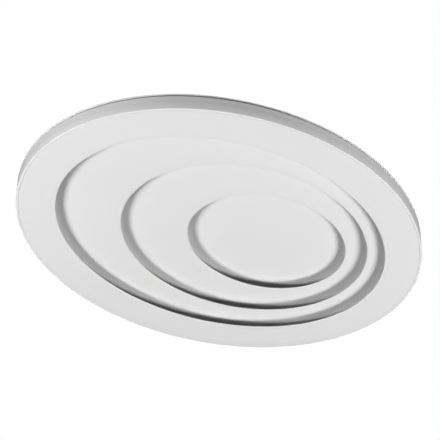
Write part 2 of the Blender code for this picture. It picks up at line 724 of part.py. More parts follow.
def make_cable_entry():
    """Rubber grommet in the pan's cable hole, and the earth screw with its cup washer."""
    inner = GROMMET_BORE_RADIUS
    neck = CABLE_HOLE_RADIUS - GAP
    lip = CABLE_HOLE_RADIUS + GROMMET_FLANGE
    below = -SHEET - GAP
    profile = (
        (inner, -0.0002),
        (neck, -0.0002),
        (neck, below),
        (lip, below),
        (lip - 0.0006, below - 0.0024),
        (inner + 0.0010, below - 0.0036),
        (inner, below - 0.0030),
    )
    add_turned("cable_grommet", profile, RUBBER, (*CABLE_HOLE, 0.0), 20, ring=True)
    add_screw("earth_screw", EARTH_POINT, WASHER_LOW_Z - GAP, BRASS, EARTH_HEAD_RADIUS)
    washer = (
        (SCREW_RADIUS + GAP, WASHER_TOP_Z),
        (WASHER_RADIUS, WASHER_TOP_Z),
        (WASHER_RADIUS, WASHER_LOW_Z),
        (SCREW_RADIUS + GAP, WASHER_LOW_Z),
    )
    add_turned("earth_washer", washer, BRASS, (*EARTH_POINT, 0.0), 16, ring=True)


def make_supply_leads():
    """Live and neutral leads from the driver's near end to the terminal block."""
    slot_x = DRIVER_CENTRE[0] + DRIVER_SIZE[0] / 2
    slot_z = WELL_FLOOR_Z - GAP - DRIVER_SLOT_DROP
    entry_x = TERMINAL_CENTRE[0] - TERMINAL_SIZE[0] / 2
    entry_z = WELL_FLOOR_Z - GAP - WIRE_ENTRY_DROP
    for pole, material, slot_y in (("live", BROWN_LEAD, 0.0075), ("neutral", BLUE_LEAD, 0.0025)):
        pole_y = pole_places()[pole][1]
        route = (
            (slot_x - 0.0030, slot_y, slot_z),
            (slot_x + 0.0040, slot_y, slot_z),
            (slot_x + 0.0120, (slot_y + pole_y) / 2, (slot_z + entry_z) / 2 - 0.0020),
            (entry_x - 0.0050, pole_y, entry_z),
            (entry_x + 0.0040, pole_y, entry_z),
        )
        lead(f"{pole}_lead", route, material)


def make_earth_lead():
    """Earth lead from the terminal block to the edge of the earth washer."""
    entry_x = TERMINAL_CENTRE[0] - TERMINAL_SIZE[0] / 2
    entry_z = WELL_FLOOR_Z - GAP - WIRE_ENTRY_DROP
    earth_y = pole_places()["earth"][1]
    washer_x, washer_y = EARTH_POINT
    route = (
        (entry_x + 0.0040, earth_y, entry_z),
        (entry_x - 0.0060, earth_y, entry_z),
        (entry_x - 0.0120, earth_y - 0.0120, entry_z - 0.0020),
        (washer_x + 0.0020, washer_y + 0.0160, -0.0052),
        (washer_x, washer_y + 0.0065, -0.0036),
    )
    lead("earth_lead", route, GREEN_LEAD)


def make_led_leads():
    """Twin leads from the driver's two ends to the outer boards and to the inner board."""
    slot_x = DRIVER_CENTRE[0] + DRIVER_SIZE[0] / 2
    far_slot_x = DRIVER_CENTRE[0] - DRIVER_SIZE[0] / 2
    slot_z = WELL_FLOOR_Z - GAP - DRIVER_SLOT_DROP
    board_z = LENS_Z - 0.0016
    outer_route = (
        (far_slot_x + 0.0030, 0.0060, slot_z),
        (far_slot_x - 0.0060, 0.0060, slot_z),
        (far_slot_x - 0.0220, 0.0120, slot_z + 0.0020),
        (-0.2300, 0.0160, board_z - 0.0030),
        (-0.2372, 0.0162, board_z),
    )
    lead("outer_led_lead", outer_route, GREY_LEAD, TWIN_LEAD_RADIUS)
    inner_route = (
        (slot_x - 0.0030, -0.0080, slot_z),
        (slot_x + 0.0060, -0.0080, slot_z),
        (-0.0160, -0.0240, slot_z),
        (0.0060, -0.0280, slot_z + 0.0020),
        (0.0300, -0.0240, board_z - 0.0060),
        (0.0400, -0.0180, board_z - 0.0010),
    )
    lead("inner_led_lead", inner_route, GREY_LEAD, TWIN_LEAD_RADIUS, 17)


def make_leads():
    """Leads inside the luminaire, each along its own route from end to end."""
    make_supply_leads()
    make_earth_lead()
    make_led_leads()


make_rim_frame()
make_face_plate()
make_step_plates()
make_diffuser_clips()
make_base_pan()
make_light_seal()
make_catches()
make_led_boards()
make_board_links()
make_driver()
make_terminal()
make_cable_entry()
make_leads()
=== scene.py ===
"""Looks of the oval ceiling luminaire: shells, plates, springs, boards and leads, and their finishes."""

import math

import bmesh
import bpy
import numpy as np
from mathutils import Matrix, Vector


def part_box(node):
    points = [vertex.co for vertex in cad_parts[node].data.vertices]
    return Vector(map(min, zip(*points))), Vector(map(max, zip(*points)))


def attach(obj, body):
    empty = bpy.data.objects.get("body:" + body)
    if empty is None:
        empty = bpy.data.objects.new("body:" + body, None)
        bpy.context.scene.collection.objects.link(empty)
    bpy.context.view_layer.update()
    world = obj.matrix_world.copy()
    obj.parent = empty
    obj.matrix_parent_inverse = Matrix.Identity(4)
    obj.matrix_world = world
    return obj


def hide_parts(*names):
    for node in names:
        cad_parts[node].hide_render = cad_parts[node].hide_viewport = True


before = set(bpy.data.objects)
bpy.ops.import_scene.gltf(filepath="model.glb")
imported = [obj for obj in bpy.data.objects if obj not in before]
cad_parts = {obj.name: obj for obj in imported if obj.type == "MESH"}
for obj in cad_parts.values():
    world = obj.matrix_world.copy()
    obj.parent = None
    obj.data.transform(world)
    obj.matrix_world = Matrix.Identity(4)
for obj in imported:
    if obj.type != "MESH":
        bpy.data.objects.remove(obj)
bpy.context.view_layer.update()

# Sizes of this luminaire's own features, in metres
AROUND = 360
PLATE = 0.0020
SKIRT_SETBACK = 0.0180
SKIRT_WALL = 0.0016
LIP_EDGE = 0.0007
LIP_ROUND = 0.0004
EDGE_ROUND = 0.0002
BEAD_SEAM = 0.0002
LIP_TAPER = 0.0030
EDGE_INSET = 0.0043
FLANGE_REACH = 0.0024
BEAD_HEIGHT = 0.0034
RIM_WALL = 0.0020
SHEET = 0.0010
GAP = 0.0003
WELL_INSET = 0.0660
WALL_FOOT_INSET = 0.0500
PAN_FOLD = 0.0016
OUTER_RING = (0.0, 0.250, 0.175)
INNER_RING = (0.115, 0.072, 0.056)
BOARD_WIDTH = 0.020
OUTER_BOARDS = 4
BOARDS = 5
MOST_OF_A_SIDE = 0.45
OFF_CENTRE = (6e-5, 4e-5)
LENS_RADIUS = 0.0072
LENS_CORNER = 0.0042
SCREW_HEAD = 0.0030
SUNK_SCREW = 0.0018
SUNK_RIVET = 0.0017
CABLE_HOLE = 0.0100
CABLE_Y = 0.052
KEYHOLE_HEAD = 0.0050
KEYHOLE_SLOT = 0.0025
KEYHOLE_RUN = 0.014
CUT_LOW, CUT_HIGH = -0.006, 0.004
CLIP_ANGLES = (0, 62, 118, 180, 242, 298)
DRIVER_EAR = 0.0120
DRIVER_WALL = 0.0016
RIB_COUNT, RIB_PITCH = 11, 0.012
LEAD_RADIUS = 0.0010
TWIN_RADIUS = 0.0013
TUBE_SIDES = 24
CATCH_INSET = 0.0110
CATCH_ANGLES = (38, 142, 218, 322)
KEYHOLES = ((-0.130, -0.076), (-0.130, 0.076), (0.130, -0.076), (0.130, 0.076))

# Sizes read from the frame
RIM_LOW, RIM_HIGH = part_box("rim_frame")
HALF_LENGTH = RIM_HIGH.x
HALF_WIDTH = RIM_HIGH.y
FACE_Z = RIM_LOW.z
RIM_TOP_Z = RIM_HIGH.z
FLANGE_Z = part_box("light_seal")[1].z + SHEET + GAP

# Camera: its direction round the luminaire, its distance and its slide, in half lengths
CAMERA_AZIMUTH = -32.6
CAMERA_ELEVATION = -40.9
CAMERA_DISTANCE = 7.91
CAMERA_SLIDE = (0.0116, 0.0833)
CAMERA_LENS = 139.1

# Stage: the lamps' aim, the strength of the white round the luminaire as seen and as light, and the contrast
LIT_POINT = (0, 0, -0.05)
WHITE_SHOWN = 1.0
WHITE_LIT = 0.02
CONTRAST = 0.66


# ---------------------------------------------------------------- surfaces


def smooth_shade(piece, sharp=40):
    """Smooth shading, with edges sharper than an angle left crisp."""
    piece.data.shade_smooth()
    piece.data.set_sharp_from_angle(angle=math.radians(sharp))


def shown(name, data):
    """A new object of the scene that holds a mesh, a lamp or a camera."""
    made = bpy.data.objects.new(name, data)
    bpy.context.scene.collection.objects.link(made)
    return made


def piece_from(name, points, faces, finish, sharp):
    """A mesh object from points and faces, its doubles merged and its faces turned outwards."""
    mesh = bpy.data.meshes.new(name)
    mesh.from_pydata(points.tolist(), [], faces)
    shape = bmesh.new()
    shape.from_mesh(mesh)
    bmesh.ops.remove_doubles(shape, verts=shape.verts, dist=1e-7)
    bmesh.ops.recalc_face_normals(shape, faces=shape.faces)
    shape.to_mesh(mesh)
    shape.free()
    made = shown(name, mesh)
    mesh.materials.append(finish)
    smooth_shade(made, sharp)
    return made


def grid_faces(rows, columns, joined):
    """Quads of a rows x columns grid whose columns close on themselves; joined closes the rows too."""
    row = np.arange(rows if joined else rows - 1)[:, None]
    column = np.arange(columns)[None, :]
    after_row = (row + 1) % rows
    after_column = (column + 1) % columns
    corners = (
        row * columns + column,
        row * columns + after_column,
        after_row * columns + after_column,
        after_row * columns + column,
    )
    return np.stack(np.broadcast_arrays(*corners), axis=-1).reshape(-1, 4)


def skin(name, rings, finish, joined=False, sharp=40):
    """A closed surface through rings of equal count: joined end to end, or each end closed by a pole."""
    rings = np.asarray(rings, float)
    rows, columns, _ = rings.shape
    points = rings.reshape(-1, 3)
    faces = grid_faces(rows, columns, joined).tolist()
    if not joined:
        poles = np.array([rings[0].mean(axis=0), rings[-1].mean(axis=0)])
        first = rows * columns
        points = np.vstack([points, poles])
        turn = np.arange(columns)
        after = (turn + 1) % columns
        last_row = (rows - 1) * columns
        faces += np.column_stack([after, turn, np.full(columns, first)]).tolist()
        faces += np.column_stack([last_row + turn, last_row + after, np.full(columns, first + 1)]).tolist()
    return piece_from(name, points, faces, finish, sharp)


def oval(centre_x, half_length, half_width, z, count=AROUND):
    """Points (cx + a cos t, b sin t, z) of a level ellipse."""
    turn = np.linspace(0, 2 * math.pi, count, endpoint=False)
    x, y = centre_x + half_length * np.cos(turn), half_width * np.sin(turn)
    return np.column_stack([x, y, np.full(count, z)])


def outline(inset, z):
    """The luminaire's outline moved in by inset, at height z."""
    return oval(0.0, HALF_LENGTH - inset, HALF_WIDTH - inset, z)


def corners_of(node):
    """A node's lowest and highest corners as arrays."""
    return tuple(np.array(corner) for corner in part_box(node))


def spot_of(node):
    """The middle of a node's box seen from below, as (x, y)."""
    low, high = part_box(node)
    return (low.x + high.x) / 2, (low.y + high.y) / 2


def arc(centre, radius, start, end, steps=5):
    """(offset, height) points on a circle's arc between two angles in degrees."""
    turn = np.radians(np.linspace(start, end, steps))
    return [(centre[0] + radius * math.cos(t), centre[1] + radius * math.sin(t)) for t in turn]


def between(first, last, steps):
    """Rings evenly spaced from one ring towards another, both left out."""
    share = np.linspace(0, 1, steps + 2)[1:-1]
    return [first * (1 - s) + last * s for s in share]


def turned(name, profile, finish, place, count, joined=False):
    """A profile of (radius, height) turned round an upright axis through place."""
    turn = np.linspace(0, 2 * math.pi, count, endpoint=False)
    around = np.column_stack([np.cos(turn), np.sin(turn), np.zeros(count)])
    rings = [around * radius + np.array([0, 0, height]) + np.array(place) for radius, height in profile]
    return skin(name, rings, finish, joined)


def rounded_rectangle(length, width, radius, steps=5):
    """Points round a rectangle with round corners, centred on zero."""
    points = []
    for sign_x, sign_y, start in ((1, 1, 0), (-1, 1, 90), (-1, -1, 180), (1, -1, 270)):
        centre = (sign_x * (length / 2 - radius), sign_y * (width / 2 - radius))
        points += arc(centre, radius, start, start + 90, steps)
    return np.array(points)


def place_points(points, place, turn):
    """Points turned about Z by an angle and moved to a place."""
    c, s = math.cos(turn), math.sin(turn)
    spin = np.array([[c, s, 0], [-s, c, 0], [0, 0, 1]])
    return np.asarray(points) @ spin + np.array(place)


def soft_box(name, low, high, finish, edge=0.0005, corner=None, place=(0, 0, 0), turn=0.0):
    """A box with rounded corners and edges: rounded rectangles stacked up, drawn in at top and bottom."""
    low, high = np.array(low, float), np.array(high, float)
    size = high - low
    corner = max(edge, corner or edge)
    middle = (low + high) / 2
    rings = []
    turns = np.radians(np.linspace(0, 90, 4))
    layers = [(edge * (1 - math.sin(t)), low[2] + edge * (1 - math.cos(t))) for t in turns]
    layers += [(inset, low[2] + high[2] - z) for inset, z in layers[::-1]]
    for inset, z in layers:
        flat = rounded_rectangle(size[0] - 2 * inset, size[1] - 2 * inset, max(corner - inset, 1e-5))
        ring = np.column_stack([flat + middle[:2], np.full(len(flat), z)])
        rings.append(place_points(ring, place, turn))
    return skin(name, rings, finish)


def swept(name, path, section, finish):
    """A cross-section of (sideways, upward) points carried along a path, square to it, with closed ends."""
    path = np.asarray(path, float)
    along = np.gradient(path, axis=0)
    along /= np.linalg.norm(along, axis=1)[:, None]
    side = np.cross(along, (0.0, 0.0, 1.0))
    side /= np.linalg.norm(side, axis=1)[:, None]
    lift = np.cross(side, along)
    section = np.asarray(section, float)
    rings = path[:, None] + side[:, None] * section[None, :, :1] + lift[:, None] * section[None, :, 1:]
    return skin(name, rings, finish)


def smooth_route(points, count):
    """Points along a Catmull-Rom curve through a route's own points, evenly numbered."""
    points = np.asarray(points, float)
    knots = np.vstack([2 * points[0] - points[1], points, 2 * points[-1] - points[-2]])
    place = np.linspace(0.0, len(points) - 1 - 1e-9, count)
    i = place.astype(int)
    t = (place - i)[:, None]
    p0, p1, p2, p3 = knots[i], knots[i + 1], knots[i + 2], knots[i + 3]
    squared, cubed = 2 * p0 - 5 * p1 + 4 * p2 - p3, 3 * p1 - p0 - 3 * p2 + p3
    return 0.5 * (2 * p1 + (p2 - p0) * t + squared * t**2 + cubed * t**3)


def ring_path(ring, start, end, z, count):
    """Points along an oval ring between two angles in degrees."""
    centre_x, half_length, half_width = ring
    turn = np.radians(np.linspace(start, end, count))
    x, y = centre_x + half_length * np.cos(turn), half_width * np.sin(turn)
    return np.column_stack([x, y, np.full(count, z)])


def rim_place(degrees, inset, z):
    """A point on the outline at an angle, moved in along the outline's normal, and the turn facing out."""
    turn = math.radians(degrees)
    out = Vector((math.cos(turn) / HALF_LENGTH, math.sin(turn) / HALF_WIDTH, 0)).normalized()
    edge = Vector((HALF_LENGTH * math.cos(turn), HALF_WIDTH * math.sin(turn), z))
    return tuple(edge - out * inset), math.atan2(out.y, out.x)


def stands_for(piece, body, slot, *nodes):
    """The piece rides on a body and hides the nodes that it stands for; its slot is not used."""
    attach(piece, body)
    if nodes:
        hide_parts(*nodes)
    return piece


# ---------------------------------------------------------------- finishes


class Finish:
    """A Principled material whose nodes are added one after another."""

    def __init__(self, name, roughness, metallic=0.0, **sockets):
        self.material = bpy.data.materials.new(name)
        self.material.use_nodes = True
        self.tree = self.material.node_tree
        self.shader = self.tree.nodes["Principled BSDF"]
        self.shader.inputs["Roughness"].default_value = roughness
        self.shader.inputs["Metallic"].default_value = metallic
        for socket, value in sockets.items():
            self.shader.inputs[socket.replace("_", " ")].default_value = value
        self.place = self.tree.nodes.new("ShaderNodeTexCoord").outputs["Object"]

    def add(self, kind, **settings):
        """A node with its own properties set."""
        node = self.tree.nodes.new(kind)
        for key, value in settings.items():
            setattr(node, key, value)
        return node

    def link(self, source, target):
        """Joins two sockets."""
        self.tree.links.new(source, target)

    def noise(self, scale, detail=4.0, rough=0.55, stretch=None):
        """A noise field in metres of the object's own space, stretched along an axis when asked."""
        field = self.add("ShaderNodeTexNoise")
        field.inputs["Scale"].default_value = scale
        field.inputs["Detail"].default_value = detail
        field.inputs["Roughness"].default_value = rough
        source = self.place
        if stretch:
            mapping = self.add("ShaderNodeMapping")
            mapping.inputs["Scale"].default_value = stretch
            self.link(source, mapping.inputs["Vector"])
            source = mapping.outputs["Vector"]
        self.link(source, field.inputs["Vector"])
        return field.outputs["Fac"]

    def ramp(self, source, stops):
        """A colour ramp over a field, from (position, colour) stops."""
        ramp = self.add("ShaderNodeValToRGB")
        elements = ramp.color_ramp.elements
        while len(elements) < len(stops):
            elements.new(0.5)
        for element, (position, colour) in zip(elements, stops):
            element.position = position
            element.color = (*colour, 1.0)
        self.link(source, ramp.inputs["Fac"])
        return ramp.outputs["Color"]

    def mix(self, share, first, second):
        """One colour over another, by a share field."""
        node = self.add("ShaderNodeMix", data_type="RGBA")
        self.link(share, node.inputs[0])
        for value, socket in ((first, node.inputs[6]), (second, node.inputs[7])):
            if isinstance(value, tuple):
                socket.default_value = (*value, 1.0)
            else:
                self.link(value, socket)
        return node.outputs[2]

    def shift(self, source, low, high, out_low, out_high):
        """A field carried from one range of numbers to another."""
        node = self.add("ShaderNodeMapRange")
        numbers = (low, high, out_low, out_high)
        for name, value in zip(("From Min", "From Max", "To Min", "To Max"), numbers):
            node.inputs[name].default_value = value
        self.link(source, node.inputs["Value"])
        return node.outputs["Result"]

    def bump(self, *layers):
        """Stacked bumps, each (field, strength, height in metres)."""
        last = None
        for field, strength, height in layers:
            node = self.add("ShaderNodeBump")
            node.inputs["Strength"].default_value = strength
            node.inputs["Distance"].default_value = height
            self.link(field, node.inputs["Height"])
            if last:
                self.link(last, node.inputs["Normal"])
            last = node.outputs["Normal"]
        self.link(last, self.shader.inputs["Normal"])

    def colour(self, source):
        """The surface's base colour."""
        self.link(source, self.shader.inputs["Base Color"])

    def roughness(self, source):
        """The surface's roughness."""
        self.link(source, self.shader.inputs["Roughness"])


def tint(colour, factor):
    """A colour made lighter or darker."""
    return tuple(min(1.0, part * factor) for part in colour)


def moulded(name, colour, roughness, spread, grain=900.0, grain_height=0.00003, flow=6.0):
    """Moulded plastic: slow flow marks in the colour, fine eroded grain, handling marks in the gloss."""
    made = Finish(name, roughness)
    drift = made.noise(flow, 3.0, 0.5)
    speck = made.noise(grain * 0.6, 2.0, 0.6)
    body = made.ramp(drift, [(0.3, tint(colour, 1 - spread)), (0.7, tint(colour, 1 + spread))])
    flecks = made.shift(speck, 0.62, 0.80, 0.0, 0.35)
    made.colour(made.mix(flecks, body, tint(colour, 1 - 3 * spread)))
    gloss = made.noise(35.0, 5.0, 0.6)
    made.roughness(made.shift(gloss, 0.3, 0.7, roughness - 0.05, roughness + 0.07))
    made.bump((made.noise(grain, 3.0, 0.6), 0.25, grain_height), (made.noise(14.0, 2.0, 0.5), 0.05, 0.0004))
    return made.material


def powder_coat(name, colour, roughness=0.5):
    """Powder coat on sheet: orange-peel ripple, pin specks and faint rubbed patches."""
    made = Finish(name, roughness)
    patch = made.noise(9.0, 4.0, 0.55)
    body = made.ramp(patch, [(0.35, tint(colour, 0.965)), (0.65, tint(colour, 1.02))])
    speck = made.shift(made.noise(650.0, 1.0, 0.4), 0.70, 0.78, 0.0, 0.5)
    made.colour(made.mix(speck, body, tint(colour, 0.80)))
    made.roughness(made.shift(made.noise(22.0, 6.0, 0.6), 0.3, 0.7, roughness - 0.08, roughness + 0.10))
    made.bump((made.noise(420.0, 2.0, 0.5), 0.35, 0.00006), (made.noise(1800.0, 1.0, 0.5), 0.15, 0.00002))
    return made.material


def metal(name, colour, roughness=0.32, grain=(1.0, 40.0, 1.0)):
    """Rolled or plated metal: drawn grain, mottled gloss and dull spots."""
    made = Finish(name, roughness, 1.0)
    lines = made.noise(60.0, 6.0, 0.7, grain)
    body = made.ramp(lines, [(0.25, tint(colour, 0.82)), (0.75, tint(colour, 1.10))])
    dull = made.shift(made.noise(120.0, 3.0, 0.5), 0.58, 0.75, 0.0, 0.55)
    made.colour(made.mix(dull, body, tint(colour, 0.62)))
    made.roughness(made.shift(made.noise(90.0, 4.0, 0.6), 0.3, 0.7, roughness - 0.08, roughness + 0.14))
    made.bump((lines, 0.15, 0.00003))
    return made.material


def elastomer(name, colour, roughness=0.8, cell=500.0, depth=0.0001):
    """Rubber or foam: a pitted skin with dusty bloom, and painted shade that darkens the bottom of each pit.
    """
    made = Finish(name, roughness)
    cells = made.add("ShaderNodeTexVoronoi")
    cells.inputs["Scale"].default_value = cell
    made.link(made.place, cells.inputs["Vector"])
    bloom = made.noise(40.0, 5.0, 0.6)
    body = made.ramp(bloom, [(0.35, colour), (0.75, tuple(part + 0.035 for part in colour))])
    # Painted shade: the colour darkens towards the cell centres, where the bump puts the bottom of each pit.
    painted_pit_shade = made.shift(cells.outputs["Distance"], 0.0, 0.5, 0.6, 0.0)
    made.colour(made.mix(painted_pit_shade, body, tint(colour, 0.5)))
    made.roughness(made.shift(bloom, 0.3, 0.7, roughness - 0.08, roughness + 0.08))
    made.bump((cells.outputs["Distance"], 0.4, depth))
    return made.material


def clear_moulding(name):
    """Clear moulded lens plastic with faint flow ripples and dusting."""
    made = Finish(name, 0.06, Transmission_Weight=0.92, IOR=1.49)
    dust = made.noise(260.0, 4.0, 0.6)
    made.colour(made.ramp(dust, [(0.4, (0.95, 0.97, 0.98)), (0.8, (0.86, 0.88, 0.89))]))
    made.roughness(made.shift(dust, 0.35, 0.75, 0.04, 0.16))
    made.bump((made.noise(70.0, 2.0, 0.4), 0.08, 0.0002))
    return made.material


def solder_mask(name, mask, copper):
    """Circuit board mask: tracks showing as slightly raised lines, in a soft-edged grid of runs."""
    made = Finish(name, 0.35)
    runs = made.add("ShaderNodeTexBrick", offset=0.5)
    runs.inputs["Scale"].default_value = 55.0
    runs.inputs["Mortar Size"].default_value = 0.045
    runs.inputs["Mortar Smooth"].default_value = 0.3
    runs.inputs["Brick Width"].default_value = 0.9
    runs.inputs["Row Height"].default_value = 0.28
    made.link(made.place, runs.inputs["Vector"])
    tracks = made.shift(runs.outputs["Fac"], 0.0, 1.0, 0.0, 0.6)
    tone = made.noise(60.0, 4.0, 0.5)
    body = made.ramp(tone, [(0.3, tint(mask, 0.95)), (0.7, tint(mask, 1.03))])
    made.colour(made.mix(tracks, body, copper))
    made.roughness(made.shift(tone, 0.3, 0.7, 0.28, 0.42))
    made.bump((runs.outputs["Fac"], 0.3, 0.00004), (made.noise(900.0, 2.0, 0.5), 0.1, 0.00002))
    return made.material


def insulation(name, colour):
    """Wire insulation: extrusion ripple and scuffs."""
    made = Finish(name, 0.42)
    scuff = made.noise(180.0, 4.0, 0.6)
    made.colour(made.ramp(scuff, [(0.3, tint(colour, 0.90)), (0.7, tint(colour, 1.08))]))
    made.roughness(made.shift(scuff, 0.3, 0.7, 0.34, 0.50))
    made.bump((made.noise(700.0, 2.0, 0.5), 0.2, 0.00003))
    return made.material


def glowless_chip(name):
    """The phosphor window of an unlit LED."""
    made = Finish(name, 0.55)
    grit = made.noise(3000.0, 3.0, 0.6)
    made.colour(made.ramp(grit, [(0.3, (0.80, 0.62, 0.12)), (0.7, (0.92, 0.76, 0.22))]))
    made.roughness(made.shift(grit, 0.3, 0.7, 0.45, 0.62))
    made.bump((grit, 0.2, 0.00002))
    return made.material


OPAL = moulded("opal_acrylic", (0.74, 0.74, 0.74), 0.42, 0.008, 1400.0, 0.00001, 3.0)
RIM_WHITE = moulded("rim_white", (0.74, 0.74, 0.74), 0.50, 0.008, 1200.0, 0.00001, 4.0)
PAN_WHITE = powder_coat("pan_powder_coat", (0.74, 0.74, 0.73))
NYLON = moulded("natural_nylon", (0.80, 0.80, 0.76), 0.48, 0.03)
DRIVER_WHITE = moulded("driver_case_white", (0.78, 0.78, 0.76), 0.55, 0.02, 700.0, 0.00008)
BUTTON_ORANGE = moulded("release_button_orange", (0.80, 0.30, 0.05), 0.42, 0.05)
SPRING_STEEL = metal("spring_steel_strip", (0.52, 0.53, 0.55), 0.28)
ZINC = metal("zinc_plate", (0.66, 0.68, 0.72), 0.34, (1.0, 1.0, 6.0))
BRASS = metal("earth_brass", (0.78, 0.58, 0.26), 0.30, (1.0, 1.0, 8.0))
GROMMET = elastomer("grommet_rubber", (0.020, 0.020, 0.021), 0.7, 900.0, 0.00003)
FOAM = elastomer("seal_foam", (0.36, 0.36, 0.36), 0.92, 420.0, 0.0003)
LENS = clear_moulding("lens_plastic")
BOARD_WHITE = solder_mask("board_mask_white", (0.80, 0.81, 0.81), (0.70, 0.71, 0.70))
BOARD_GREEN = solder_mask("board_mask_green", (0.05, 0.22, 0.09), (0.11, 0.34, 0.15))
PHOSPHOR = glowless_chip("led_phosphor")
BROWN = insulation("brown_insulation", (0.16, 0.06, 0.025))
BLUE = insulation("blue_insulation", (0.03, 0.12, 0.46))
GREEN = insulation("green_insulation", (0.04, 0.30, 0.06))
YELLOW = insulation("yellow_insulation", (0.85, 0.70, 0.04))
GREY = insulation("grey_insulation", (0.34, 0.34, 0.35))


# ---------------------------------------------------------------- cover


def recess_lips():
    """(centre, half length, half width) of each opening, from the box of the tray bonded round it."""
    lips = []
    for node in ("outer_step_plate", "middle_step_plate", "centre_plate"):
        low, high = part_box(node)
        reach = SKIRT_SETBACK + SKIRT_WALL
        lips.append(((low.x + high.x) / 2, (high.x - low.x) / 2 - reach, (high.y - low.y) / 2 - reach))
    return lips


LIPS = recess_lips()


def around_lip(number, outward, z):
    """The rim of an opening moved outward, at height z."""
    centre_x, half_length, half_width = LIPS[number]
    return oval(centre_x, half_length + outward, half_width + outward, z)


def lip_rings(number, z):
    """The rounded edge of an opening in a plate whose face is at z, then the taper at its back."""
    corner = arc((LIP_ROUND, z + LIP_ROUND), LIP_ROUND, 270, 180, 5)
    rings = [around_lip(number, offset, height) for offset, height in corner]
    rings.append(around_lip(number, 0.0, z + LIP_EDGE))
    rings.append(around_lip(number, LIP_TAPER, z + PLATE))
    return rings


def make_face_plate():
    """A flat oval ring whose outer edge turns up and out into the flange that hangs in the rim frame."""
    ledge = FACE_Z + BEAD_HEIGHT + GAP
    corner = arc((EDGE_INSET + EDGE_ROUND, FACE_Z + EDGE_ROUND), EDGE_ROUND, 180, 270, 5)
    edge = [
        outline(EDGE_INSET + PLATE, FACE_Z + PLATE),
        outline(EDGE_INSET + PLATE, ledge + PLATE),
        outline(FLANGE_REACH, ledge + PLATE),
        outline(FLANGE_REACH, ledge),
        outline(EDGE_INSET, ledge),
    ]
    edge += [outline(inset, z) for inset, z in corner]
    lip = lip_rings(0, FACE_Z)
    rings = lip + between(lip[-1], edge[0], 4) + edge + between(edge[-1], lip[0], 6)
    stands_for(skin("face_plate_fine", rings, OPAL, joined=True), "cover", "diffuser", "face_plate")


def make_step_plates():
    """Trays nested up into the luminaire: a skirt set back behind the lip before it, and a flat floor."""
    names = ("outer_step_plate", "middle_step_plate", "centre_plate")
    for number, node in enumerate(names):
        low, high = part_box(node)
        face = high.z - PLATE
        inner, outer = SKIRT_SETBACK, SKIRT_SETBACK + SKIRT_WALL
        fillet = arc((inner - 0.0020, face - 0.0020), 0.0020, 90, 0, 5)
        skirt = [around_lip(number, offset, z) for offset, z in fillet]
        skirt += [around_lip(number, inner, low.z), around_lip(number, outer, low.z)]
        shoulder = arc((outer - 0.0016, high.z - 0.0016), 0.0016, 0, 90, 5)
        skirt += [around_lip(number, offset, z) for offset, z in shoulder]
        if number + 1 < len(LIPS):
            lip = lip_rings(number + 1, face)[::-1]
            rings = skirt + between(skirt[-1], lip[0], 3) + lip + between(lip[-1], skirt[0], 5)
            tray = skin(node + "_fine", rings, OPAL, joined=True)
        else:
            centre_x = LIPS[number][0]
            middle = oval(centre_x, 0.004, 0.003, face)
            back = oval(centre_x, 0.004, 0.003, high.z)
            rings = [middle] + between(middle, skirt[0], 8) + skirt + between(skirt[-1], back, 5) + [back]
            tray = skin(node + "_fine", rings, OPAL)
        stands_for(tray, "cover", "diffuser", node)


def make_rim_frame():
    """The side wall: a long upright section with a rounded bead below and a ledge inside it."""
    bead, edge = 0.0015, EDGE_INSET - BEAD_SEAM
    section = arc((RIM_WALL / 2, RIM_TOP_Z - RIM_WALL / 2), RIM_WALL / 2, 0, 180, 7)[::-1]
    section = [(inset, z) for inset, z in section]
    section += [(0.0, RIM_TOP_Z - 0.012), (0.0, FACE_Z + 0.012), (0.0, FACE_Z + bead)]
    section += arc((bead, FACE_Z + bead), bead, 180, 270, 6)[1:]
    section += arc((edge - EDGE_ROUND, FACE_Z + EDGE_ROUND), EDGE_ROUND, 270, 360, 6)
    section += [(edge, FACE_Z + BEAD_HEIGHT), (RIM_WALL, FACE_Z + BEAD_HEIGHT), (RIM_WALL, FACE_Z + 0.014)]
    rings = [outline(inset, z) for inset, z in section]
    stands_for(skin("rim_frame_fine", rings, RIM_WHITE, joined=True), "cover", "rim_paint", "rim_frame")


make_face_plate()
make_step_plates()
make_rim_frame()


# ---------------------------------------------------------------- base pan and seal


def rounded(path, radius, steps=6):
    """A path whose inner corners are arcs of a radius, each tangent to the two sides that meet there."""
    path = [np.array(point, float) for point in path]
    made = [path[0]]
    for before, corner, after in zip(path, path[1:], path[2:]):
        into = (before - corner) / np.linalg.norm(before - corner)
        away = (after - corner) / np.linalg.norm(after - corner)
        half = math.acos(np.clip(into @ away, -1, 1)) / 2
        shorter = min(np.linalg.norm(before - corner), np.linalg.norm(after - corner))
        reach = min(radius / math.tan(half), MOST_OF_A_SIDE * shorter)
        share = np.linspace(0, 1, steps)[:, None]
        start, end = corner + into * reach, corner + away * reach
        made.extend((1 - share) ** 2 * start + 2 * share * (1 - share) * corner + share**2 * end)
    made.append(path[-1])
    return np.array(made)


def thickened(path, thickness):
    """A flat path and the same path moved sideways by a thickness, run back, as one closed section."""
    along = np.gradient(path, axis=0)
    along /= np.linalg.norm(along, axis=1)[:, None]
    beside = np.column_stack([along[:, 1], -along[:, 0]])
    return np.vstack([path, (path + beside * thickness)[::-1]])


def baked(piece, cutters):
    """The piece with helpers cut from it by exact Booleans, as its own plain mesh."""
    for cutter in cutters:
        change = piece.modifiers.new("cut", "BOOLEAN")
        change.operation = "DIFFERENCE"
        change.object = cutter
    bpy.context.view_layer.update()
    seen = piece.evaluated_get(bpy.context.evaluated_depsgraph_get())
    mesh = bpy.data.meshes.new_from_object(seen)
    piece.modifiers.clear()
    piece.data = mesh
    for cutter in cutters:
        bpy.data.objects.remove(cutter, do_unlink=True)
    smooth_shade(piece)
    return piece


def post(radius, low, high, spot, count=42):
    """An upright cylinder used as a cutter, a hair off centre so that no corner meets a line of the grid."""
    place = (spot[0] + OFF_CENTRE[0], spot[1] + OFF_CENTRE[1], 0)
    return turned("post", [(radius, low), (radius, high)], ZINC, place, count)


